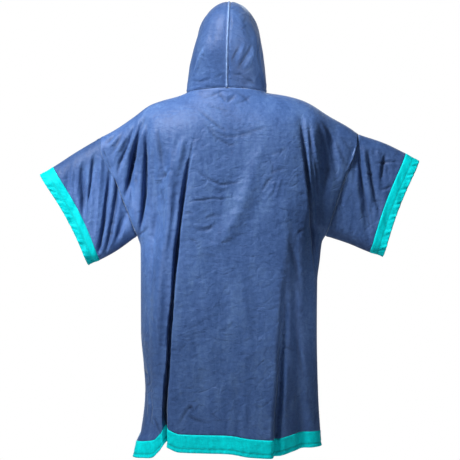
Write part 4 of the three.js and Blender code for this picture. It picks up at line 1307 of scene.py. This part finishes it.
@dataclass
class Panel:
    """The back or front panel, its hem band and their stitching."""

    form: PanelForm
    name: str
    creases: tuple[Crease, ...]
    column_counts: tuple[int, ...] = (66, 8, 64, 8, 56)
    armhole_rows: int = 78
    body_rows: int = 152
    band_rows: int = 12
    corner_widths: Pair = (0.09, 0.06)
    corner_rows: Triple = (0.015, 0.1, 0.2)
    steepest: float = 2
    fair_steps: int = 260
    fair_pace: float = 0.5
    slack_drops: Pair = (60, 220)
    slack_share: float = 0.05
    edge_share: float = 0.03
    sunk_depths: Pair = (12, 55)
    sunk_shade: float = 0.9
    slit_insets: Pair = (5.0, 10.5)
    slit_thread: float = 0.6
    tension: Tension = Tension(4, 0.7, 80, 3.0)
    crinkle: Tension = Tension(41, 0.34, 26, 2.6, 1.35)

    def share_line(self) -> Array:
        """Shares of the columns, close together at the folds."""
        stops = (0, *self.form.shares, 1)
        parts = [np.linspace(a, b, n, endpoint=False)
                 for a, b, n in zip(stops, stops[1:], self.column_counts)]
        return np.concatenate([*parts, [1.0]])

    def row_line(self) -> Array:
        """Rows of the panel, close together at the shoulder seam and the underarm."""
        below = np.linspace(UNDERARM_ROW, HEM_SEAM_LEVEL, self.body_rows + 1)[1:]
        return np.concatenate([UNDERARM_ROW * bunched(self.armhole_rows), below])

    def fair(self, points: Points, share: Array, row: Array) -> Points:
        """Ease the corners of the neck opening, where the neck's and the shoulders' forms meet.

        Args:
            points: The form's points.
            share: Their shares.
            row: Their rows.

        Returns:
            The same points, smoother near those corners.
        """
        x, y, z = points
        corner = sum(bell(share - at, width)
                     for at, width in zip(self.form.shares[1:3], self.corner_widths))
        first, full, last = self.corner_rows
        weight = (np.clip(corner, 0, 1) * smooth(0, first, row) * smooth(last, full, row))[:, 1:-1]
        before = x[:, 1:-1] - x[:, :-2]
        after = x[:, 2:] - x[:, 1:-1]
        down = np.gradient(z, axis=0)
        for _ in range(self.fair_steps):
            steep = np.clip(np.gradient(y, axis=0) / down, -self.steepest, self.steepest)[:, 1:-1]
            left = y[:, :-2] + steep * (z[:, 1:-1] - z[:, :-2])
            right = y[:, 2:] + steep * (z[:, 1:-1] - z[:, 2:])
            even = (left * after + right * before) / (before + after)
            eased = y[:, 1:-1] + self.fair_pace * weight * (even - y[:, 1:-1])
            y = np.concatenate([y[:, :1], eased, y[:, -1:]], 1)
        return x, y, z

    def grid(self, rows: Array) -> ClothGrid:
        """The cloth between two levels with its creases, their painted shade and highlight, and painted
        shade deep in the large folds.

        Args:
            rows: The rows' levels.

        Returns:
            The grid.
        """
        share, row = np.meshgrid(self.share_line(), rows)
        points = self.fair(self.form.at(share, row), share, row)
        grid = ClothGrid.of(points, np.array((0, self.form.face.value, 0)))
        x, _, z = points
        pressed, painted_shading = crease_all(self.creases, x, z)
        slack = (smooth(*self.slack_drops, -z) * smooth(0, self.slack_share, share)
                 * smooth(0, self.slack_share, 1 - share))
        pressed = pressed + (self.tension.at(x, z) + self.crinkle.at(x, z)) * slack
        edge = smooth(0, self.edge_share, np.minimum(share, 1 - share))
        grid.press(pressed * edge)
        sunk = folds_at(self.form.face, x, z)[0]
        # Painted shade and highlight of the creases, and painted shade deep in the large folds
        grid.crush = np.clip(painted_shading + self.sunk_shade * smooth(*self.sunk_depths, sunk), -1, 1) * edge
        return grid

    def build(self, maker: Maker, threads: dict[Slot, bpy.types.Material]) -> None:
        """Make the panel, its hem band and the stitching.

        Args:
            maker: The maker.
            threads: The threads' materials.
        """
        rows = self.row_line()
        body = self.grid(rows)
        in_arm = (rows <= UNDERARM_ROW + TINY)[:, None]
        from_left = body.along()
        from_right = from_left[:, -1:] - from_left
        side = np.minimum(from_left, from_right)
        on_left = from_left < from_right
        # Painted shade along the left armhole seam, and on the right a pale line of rubbed pile and painted
        # highlight
        body.seam(np.where(in_arm, side, FAR), wear=np.where(on_left, 0, ARMHOLE_WEAR_AND_HIGHLIGHT[Side.RIGHT]),
                  shade=np.where(on_left, ARMHOLE_SHADE[Side.LEFT], 0))
        body.seam(np.where(in_arm, FAR, side), roll=0.4, wear=0.2)
        body.seam(body.down(), roll=0.7, wear=0.2)
        panel = maker.sheet(f"{self.name}_panel_cloth", body, Slot.BLUE)
        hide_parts(f"{self.name}_panel")
        LOG.info("%s panel: %d faces, with the folds %s", self.name, len(panel.data.polygons),
                 ", ".join(fold.name for fold in FOLDS[self.form.face]))

        band = self.grid(np.linspace(HEM_SEAM_LEVEL, 1, self.band_rows + 1))
        HEM_BAND.shape(band)
        sewn = maker.sheet(f"{self.name}_hem_cloth", band, Slot.TEAL)
        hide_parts(f"{self.name}_hem_band")
        self.stitch(maker, threads, body, band)

    def stitch(self, maker: Maker, threads: dict[Slot, bpy.types.Material],
               body: ClothGrid, band: ClothGrid) -> None:
        """Sew the hem's line and the slits' lines."""
        row = round(HEM_BAND.line * self.band_rows)
        Stitching().make(maker, f"{self.name}_hem_stitches",
                         [(band.points[row], band.outward[row])], threads[Slot.TEAL], Slot.TEAL)
        first = int(np.argmax(body.points[:, 0, 2] < SLIT_TOP))
        lines = []
        whole = np.concatenate([body.points[first:], band.points[1:]])
        ways = np.concatenate([body.outward[first:], band.outward[1:]])
        for points, normals in ((whole, ways), (whole[:, ::-1], ways[:, ::-1])):
            reach = lengths(points, 1)
            for inset in self.slit_insets:
                column = np.array([np.searchsorted(r, inset) for r in reach])
                part = np.array([(inset - r[c - 1]) / (r[c] - r[c - 1]) for r, c in zip(reach, column)])
                index = np.arange(len(points))
                line = lerp(points[index, column - 1], points[index, column], part[:, None])
                lines.append((line, normals[index, column]))
        Stitching(radius=self.slit_thread).make(maker, f"{self.name}_slit_stitches", lines,
                                                threads[Slot.BLUE], Slot.BLUE)


@dataclass
class Sleeve:
    """One sleeve with its cuff band."""

    side: Side
    creases: tuple[Crease, ...]
    half_ring: int = 112
    rows: int = 60
    band_rows: int = 12
    tension: Tension = Tension(9, 0.8, 60, 2.6)
    face_shift: float = 3
    end_shares: Pair = (0.16, 0.12)
    top_shares: Pair = (0.03, 0.26)
    top_shade: float = 0.0
    cuff_shade: float = 0.0

    def ring_line(self) -> tuple[Array, Array]:
        """down and face of each point of a ring, from the top by the back round to the top."""
        down = bunched(self.half_ring)
        both = np.concatenate([down, down[-2::-1]])
        face = np.where(np.arange(len(both)) <= self.half_ring, -1.0, 1.0)
        return both, face

    def grid(self, low: float, high: float, rows: int) -> ClothGrid:
        """The tube of cloth between two rings, with its creases, their painted shade and highlight, and
        painted shade along the top.

        Args:
            low: The first ring's place, 0 at the armhole.
            high: The last ring's.
            rows: How many rows.

        Returns:
            The grid.
        """
        down, face = self.ring_line()
        out = np.linspace(low, high, rows + 1)
        outs, downs = np.meshgrid(out, down, indexing="ij")
        faces = np.broadcast_to(face, outs.shape)
        points = SLEEVES[self.side].at(outs, downs, faces)
        grid = ClothGrid.of(points, np.stack([0 * outs, faces, 0 * outs], -1), ring=True)
        x, _, z = points
        back, back_shading = crease_all(self.creases, x, z)
        front, front_shading = crease_all(FRONT_CREASES, x, z)
        pressed = np.where(faces < 0, back, front)
        pressed += self.tension.at(x + self.face_shift * faces * x, z)
        inside = smooth(0, self.end_shares[0], downs) * smooth(0, self.end_shares[1], 1 - downs)
        grid.press(pressed * inside)
        grid.crush = np.where(faces < 0, back_shading, front_shading) * inside
        # Painted shade along the sleeve's top
        grid.crush = np.maximum(grid.crush, self.top_shade * (1 - smooth(*self.top_shares, downs)))
        return grid

    def build(self, maker: Maker, threads: dict[Slot, bpy.types.Material]) -> None:
        """Make the sleeve, the cuff band and its stitching."""
        name = self.side.name.lower()
        cloth = self.grid(0, CUFF_SEAM, self.rows)
        cloth.seam(cloth.down(), wear=ARMHOLE_WEAR_AND_HIGHLIGHT[self.side], shade=ARMHOLE_SHADE[self.side])
        sleeve = maker.sheet(f"{name}_sleeve_cloth", cloth, Slot.BLUE)
        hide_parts(f"{name}_sleeve")
        band = self.grid(CUFF_SEAM, 1, self.band_rows)
        CUFF_BAND.shape(band, self.cuff_shade)
        cuff = maker.sheet(f"{name}_cuff_cloth", band, Slot.TEAL)
        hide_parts(f"{name}_cuff_band")
        row = round(CUFF_BAND.line * self.band_rows)
        Stitching().make(maker, f"{name}_cuff_stitches", [(band.points[row], band.outward[row])],
                         threads[Slot.TEAL], Slot.TEAL)
        LOG.info("%s sleeve: %d faces", name, len(sleeve.data.polygons))


@dataclass
class Hood:
    """The hood, of two halves sewn together over the crown."""

    columns: int = 112
    rows: int = 112
    bunching: float = 1.15
    least_crease: float = 2.2
    nap_and_shading: float = 0.6
    painted_shade_heights: Pair = (-30, 110)
    back_depths: Pair = (-20, -60)
    seam_share: float = 0.06
    slack_share: float = 0.2
    ridge: float = 2.2
    ridge_width: float = 2.1
    ridge_waves: tuple[Triple, ...] = ((0.22, 4.1, 0), (0.18, 9.3, 1))
    dips: Pair = (0.8, 1.7)
    dip_at: float = 5.5
    dip_width: float = 2.6
    worn_and_highlit_width: float = 1.7
    worn_and_highlit_waves: Pair = (2.3, 6.1)
    worn_and_highlit_levels: Pair = (0.72, 0.28)
    hem_line: Triple = (0.7, 16, 2.0)
    edge_roll: Pair = (0.8, 6)
    tension: Tension = Tension(15, 0.8, 70, 2.0, 0.4)

    def build(self, maker: Maker) -> None:
        """Make both halves."""
        for side in Side:
            along, turn = np.meshgrid(np.linspace(0, 1, self.columns + 1) ** self.bunching,
                                      np.linspace(0, 1, self.rows + 1))
            points = HoodForm(side).at(along, turn)
            grid = ClothGrid.of(points, np.stack([side.value + 0 * along, 0 * along, 0 * along], -1))
            x, y, z = points
            pressed, painted_shading = crease_all(HOOD_CREASES, x, z, self.least_crease)
            creased = smooth(*self.back_depths, y) * smooth(0, self.seam_share, along)
            grid.press(pressed * creased + self.tension.at(y + x, z) * smooth(0, self.slack_share, along))
            # Painted shade over the hood's upper part, darker towards the top
            painted_top_shade = self.nap_and_shading * smooth(*self.painted_shade_heights, z)
            grid.crush = np.clip(painted_shading * creased + painted_top_shade, -1, 1)
            from_seam = grid.along()
            self.crown_seam(grid, from_seam, z, side)
            # Painted shadow along the neck seam, with a faint pale line of rubbed pile and painted
            # highlight
            grid.seam(grid.down(), roll=1.0, wear=0.15, shade=0.3)
            to_edge = from_seam[:, -1:] - from_seam
            depth, inset, width = self.hem_line
            height, reach = self.edge_roll
            grid.press(depth * bell(to_edge - inset, width) - height * bell(to_edge, reach))
            name = side.name.lower()
            half = maker.sheet(f"{name}_hood_cloth", grid, Slot.BLUE)
            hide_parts(f"{name}_hood_half")
            LOG.info("%s hood half: %d faces", name, len(half.data.polygons))

    def crown_seam(self, grid: ClothGrid, from_seam: Array, z: Array, side: Side) -> None:
        """Raise the uneven ridge of the centre seam with a dip beside it, paled by rubbed pile and painted
        highlight.

        Args:
            grid: The hood half.
            from_seam: Distance of each point from the seam.
            z: The points' heights.
            side: The half's side. The cloth dips more on the right.
        """
        uneven = 1 + sum(height * np.sin(z / pitch + phase) for height, pitch, phase in self.ridge_waves)
        grid.press(-self.ridge * uneven * bell(from_seam, self.ridge_width))
        dip = self.dips[1] if side is Side.RIGHT else self.dips[0]
        grid.press(dip * uneven * bell(from_seam - self.dip_at, self.dip_width))
        fine, coarse = self.worn_and_highlit_waves
        even, spread = self.worn_and_highlit_levels
        patchy = even + spread * np.sin(z / fine) * np.sin(z / coarse + side.value)
        grid.wear = np.maximum(grid.wear, patchy * bell(from_seam, self.worn_and_highlit_width))


@dataclass(frozen=True)
class Lamp:
    """A soft light that looks at a point: a square of some size, or a narrow spot of some degrees."""

    name: str
    place: Triple
    target: Triple
    power: float
    size: float = 0
    degrees: float = 0
    spot_softness: float = 0.15

    def hang(self) -> None:
        """Hang it where the camera doesn't see it."""
        data = bpy.data.lights.new(self.name, "SPOT" if self.degrees else "AREA")
        if self.degrees:
            data.spot_size = math.radians(self.degrees)
            data.spot_blend = 1
            data.shadow_soft_size = self.spot_softness
        else:
            data.shape = "SQUARE"
            data.size = self.size
        data.energy = self.power
        lamp = bpy.data.objects.new(self.name, data)
        bpy.context.scene.collection.objects.link(lamp)
        lamp.location = self.place
        lamp.visible_camera = False
        way = Vector(self.target) - Vector(self.place)
        lamp.rotation_euler = way.to_track_quat("-Z", "Y").to_euler()


LAMPS = (
    Lamp("key", (-0.8, -0.95, 1.05), (0, 0, -0.1), 58, size=0.45),
    Lamp("fill", (2.3, -2.4, 1.0), (0.1, 0, -0.1), 6, size=2.0),
    Lamp("hood", (0.75, -1.0, -0.05), (0.07, -0.06, 0.14), 78, degrees=19),
    Lamp("sleeve", (-1.2, -1.3, 0.0), (-0.35, -0.04, -0.31), 150, degrees=10.5),
    Lamp("side", (-1.3, -1.5, -0.4), (-0.19, -0.1, -0.42), 62, degrees=15),
    Lamp("right side", (1.3, -1.5, -0.5), (0.25, -0.08, -0.6), 50, degrees=11.5),
    Lamp("front", (0.3, 3.1, 0.9), (0, 0, -0.4), 30, size=2.2),
)


@dataclass
class Studio:
    """The floor, the soft light and the camera at the photograph's angle."""

    floor_z: float = -1.45
    floor_radius: float = 2.0
    floor_grey: float = 0.86
    glow: Triple = (0.9, 0.95, 1.0)
    glow_strength: float = 0.09
    camera_place: Triple = (0.005, -3.5, -0.377)
    lens: float = 99.6
    sensor: float = 36

    def build(self) -> None:
        """Make them."""
        scene = bpy.context.scene
        scene.view_settings.view_transform = "Standard"
        bpy.ops.object.select_all(action="DESELECT")
        bpy.ops.mesh.primitive_circle_add(vertices=96, radius=self.floor_radius, fill_type="NGON",
                                          location=(0, 0, self.floor_z))
        floor = bpy.context.object
        floor.name = "studio_floor"
        grey = (self.floor_grey, self.floor_grey, self.floor_grey, 1)
        pale = NodeTree.start("pale floor").finish({"Base Color": grey, "Roughness": 0.9})
        floor.data.materials.append(pale)
        for lamp in LAMPS:
            lamp.hang()
        self.world()
        camera = bpy.data.cameras.new("camera")
        camera.lens = self.lens
        camera.sensor_width = self.sensor
        holder = bpy.data.objects.new("camera", camera)
        scene.collection.objects.link(holder)
        holder.location = self.camera_place
        holder.rotation_euler = (math.pi / 2, 0, 0)
        scene.camera = holder

    def world(self) -> None:
        """A soft grey surround that looks white behind the object."""
        world = bpy.data.worlds.new("studio")
        bpy.context.scene.world = world
        world.use_nodes = True
        nodes, links = world.node_tree.nodes, world.node_tree.links
        glow = nodes["Background"]
        glow.inputs["Color"].default_value = (*self.glow, 1)
        glow.inputs["Strength"].default_value = self.glow_strength
        white = nodes.new("ShaderNodeBackground")
        white.inputs["Color"].default_value = (1, 1, 1, 1)
        mix = nodes.new("ShaderNodeMixShader")
        path = nodes.new("ShaderNodeLightPath")
        links.new(path.outputs["Is Camera Ray"], mix.inputs[0])
        links.new(glow.outputs[0], mix.inputs[1])
        links.new(white.outputs[0], mix.inputs[2])
        links.new(mix.outputs[0], nodes["World Output"].inputs["Surface"])


def main() -> None:
    """Build the studio and each sub-assembly in order."""
    logging.basicConfig(level=logging.INFO, format="%(name)s: %(message)s")
    Studio().build()
    maker = Maker(finishes={Slot.BLUE: BLUE_CLOTH.make(), Slot.TEAL: TEAL_CLOTH.make()})
    threads = {
        Slot.BLUE: Thread("pale blue thread", (0.6, 0.74, 1.0)).make(),
        Slot.TEAL: Thread("teal thread", (0.0, 0.42, 0.4)).make(),
    }
    Panel(BACK, "back", BACK_CREASES).build(maker, threads)
    Panel(FRONT, "front", FRONT_CREASES, tension=Tension(23, 1.0, 90, 3.0)).build(maker, threads)
    # The left sleeve gets painted shade along its top and over its cuff
    Sleeve(Side.LEFT, LEFT_SLEEVE_CREASES, top_shade=0.8, cuff_shade=0.75).build(maker, threads)
    Sleeve(Side.RIGHT, RIGHT_SLEEVE_CREASES, tension=Tension(31, 0.8, 60, 2.6)).build(maker, threads)
    Hood().build(maker)


if __name__ == "__main__":
    main()
